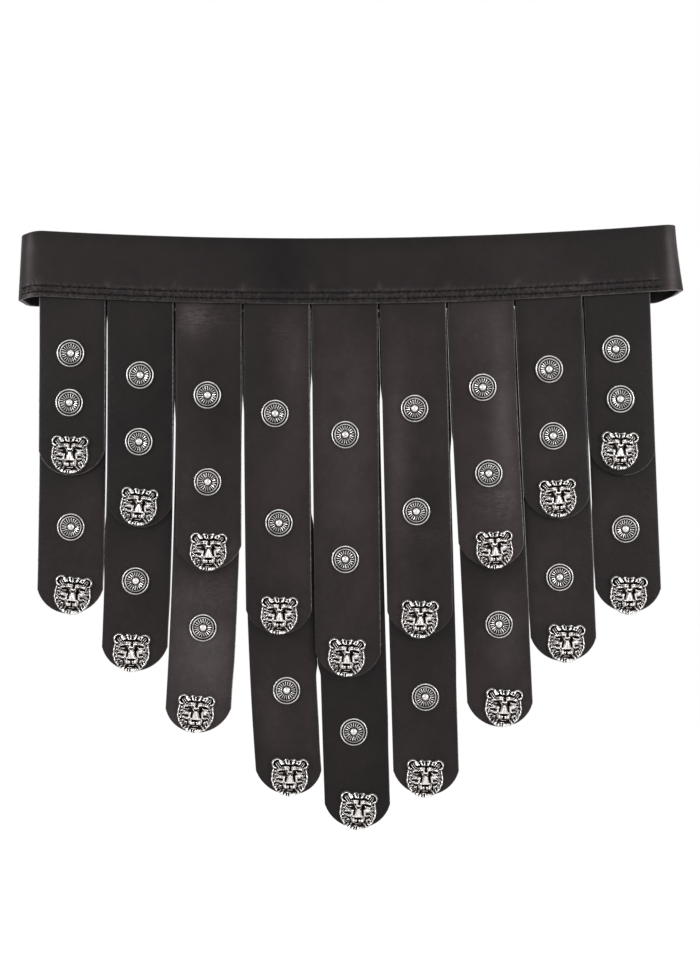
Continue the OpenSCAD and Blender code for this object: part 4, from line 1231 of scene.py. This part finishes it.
class APRON_OT_stage(Operator):
    """Stage: pale floor, white background, soft studio lamps and the camera"""
    bl_idname = "apron.stage"
    bl_label = "Stage"

    def execute(self, context):
        self.light_world(context.scene)
        self.lay_floor()
        for name, at, aim_z, size, power in (("left", (-1.5, -1.25, 0.35), -0.15, 0.8, 24),
                                             ("right", (1.5, -1.15, 0.25), -0.15, 0.8, 26),
                                             ("top", (0.1, -0.2, 1.5), -0.1, 1.0, 12),
                                             ("rim", (0.3, 1.8, 0.4), -0.15, 1.2, 14)):
            lamp = bpy.data.lights.new(name, "AREA")
            lamp.energy, lamp.size = power, size
            held = bpy.data.objects.new(name, lamp)
            held.location = at
            held.rotation_euler = (Vector((0, 0, aim_z)) - Vector(at)).to_track_quat("-Z", "Y").to_euler()
            context.scene.collection.objects.link(held)

        eye = bpy.data.cameras.new("camera")
        eye.sensor_fit, eye.sensor_width = "HORIZONTAL", 36
        eye.lens = eye.sensor_width * VIEW_DISTANCE / VIEW_WIDTH
        camera = bpy.data.objects.new("camera", eye)
        camera.location = (0, FRONT_Y - VIEW_DISTANCE, VIEW_Z)
        camera.rotation_euler = (math.pi / 2, 0, 0)
        context.scene.collection.objects.link(camera)
        context.scene.camera = camera
        context.scene.view_settings.view_transform = "Standard"
        return {"FINISHED"}

    def light_world(self, scene):
        """A background that is white where it is seen, mirrored or shone through, and a softer fill elsewhere."""
        scene.world = bpy.data.worlds.new("studio")
        scene.world.use_nodes = True
        w = Nodes(scene.world.node_tree)
        w.tree.nodes.clear()
        white = colour(colours().backdrop)
        path = w.add("ShaderNodeLightPath").outputs
        seen = w.maths("MAXIMUM", w.maths("MAXIMUM", path["Is Camera Ray"], path["Is Glossy Ray"]),
                       path["Is Transmission Ray"])
        fill, shown = (w.add("ShaderNodeBackground", {"Color": white, "Strength": strength}).outputs[0]
                       for strength in (0.55, 1.0))
        both = w.add("ShaderNodeMixShader", {0: seen, 1: fill, 2: shown}).outputs[0]
        w.add("ShaderNodeOutputWorld", {"Surface": both})

    def lay_floor(self):
        """A pale floor that glows where the camera sees it, so that it stays near white and keeps soft shadows."""
        f = Finish("studio_floor")
        f.tree.nodes.remove(f.shader)
        seen = f.add("ShaderNodeLightPath").outputs["Is Camera Ray"]
        flat = f.add("ShaderNodeBsdfDiffuse", {"Color": (0.9, 0.9, 0.9, 1.0)}).outputs[0]
        glow = f.add("ShaderNodeEmission", {"Color": colour(colours().backdrop), "Strength": 1.12}).outputs[0]
        both = f.add("ShaderNodeMixShader", {0: f.times(seen, 0.8), 1: flat, 2: glow}).outputs[0]
        f.wire(f.tree.nodes["Material Output"].inputs["Surface"], both)
        x, y = np.meshgrid(np.linspace(-6, 6, 25), np.linspace(-6, 6, 25))
        points = np.stack([x.ravel(), y.ravel(), np.full(x.size, FLOOR_Z)], -1)
        floor = make_piece("studio_floor", (points, [quads(25, 25)]), f.material)


class APRON_PT_panel(Panel):
    """Lists the belt's pieces, sizes and colours"""
    bl_idname = "APRON_PT_panel"
    bl_label = "Apron belt"
    bl_space_type = "VIEW_3D"
    bl_region_type = "UI"
    bl_category = "Apron belt"

    def draw(self, context):
        for step in STEPS:
            self.layout.operator(step.bl_idname)
        for group in (context.scene.apron_sizes, context.scene.apron_colours):
            for key in group.__annotations__:
                self.layout.prop(group, key)


STEPS = (APRON_OT_band, APRON_OT_front_strips, APRON_OT_rear_strips, APRON_OT_seams, APRON_OT_rosettes,
         APRON_OT_masks, APRON_OT_buckle, APRON_OT_stage)
CLASSES = (ApronSizes, ApronColours, *STEPS, APRON_PT_panel)


def register():
    for each in CLASSES:
        bpy.utils.register_class(each)
    bpy.types.Scene.apron_sizes = PointerProperty(type=ApronSizes)
    bpy.types.Scene.apron_colours = PointerProperty(type=ApronColours)


def unregister():
    del bpy.types.Scene.apron_sizes
    del bpy.types.Scene.apron_colours
    for each in reversed(CLASSES):
        bpy.utils.unregister_class(each)


def main():
    register()
    for name in ("band", "front_strips", "rear_strips", "seams", "rosettes", "masks", "buckle", "stage"):
        getattr(bpy.ops.apron, name)()


if __name__ == "__main__":
    main()
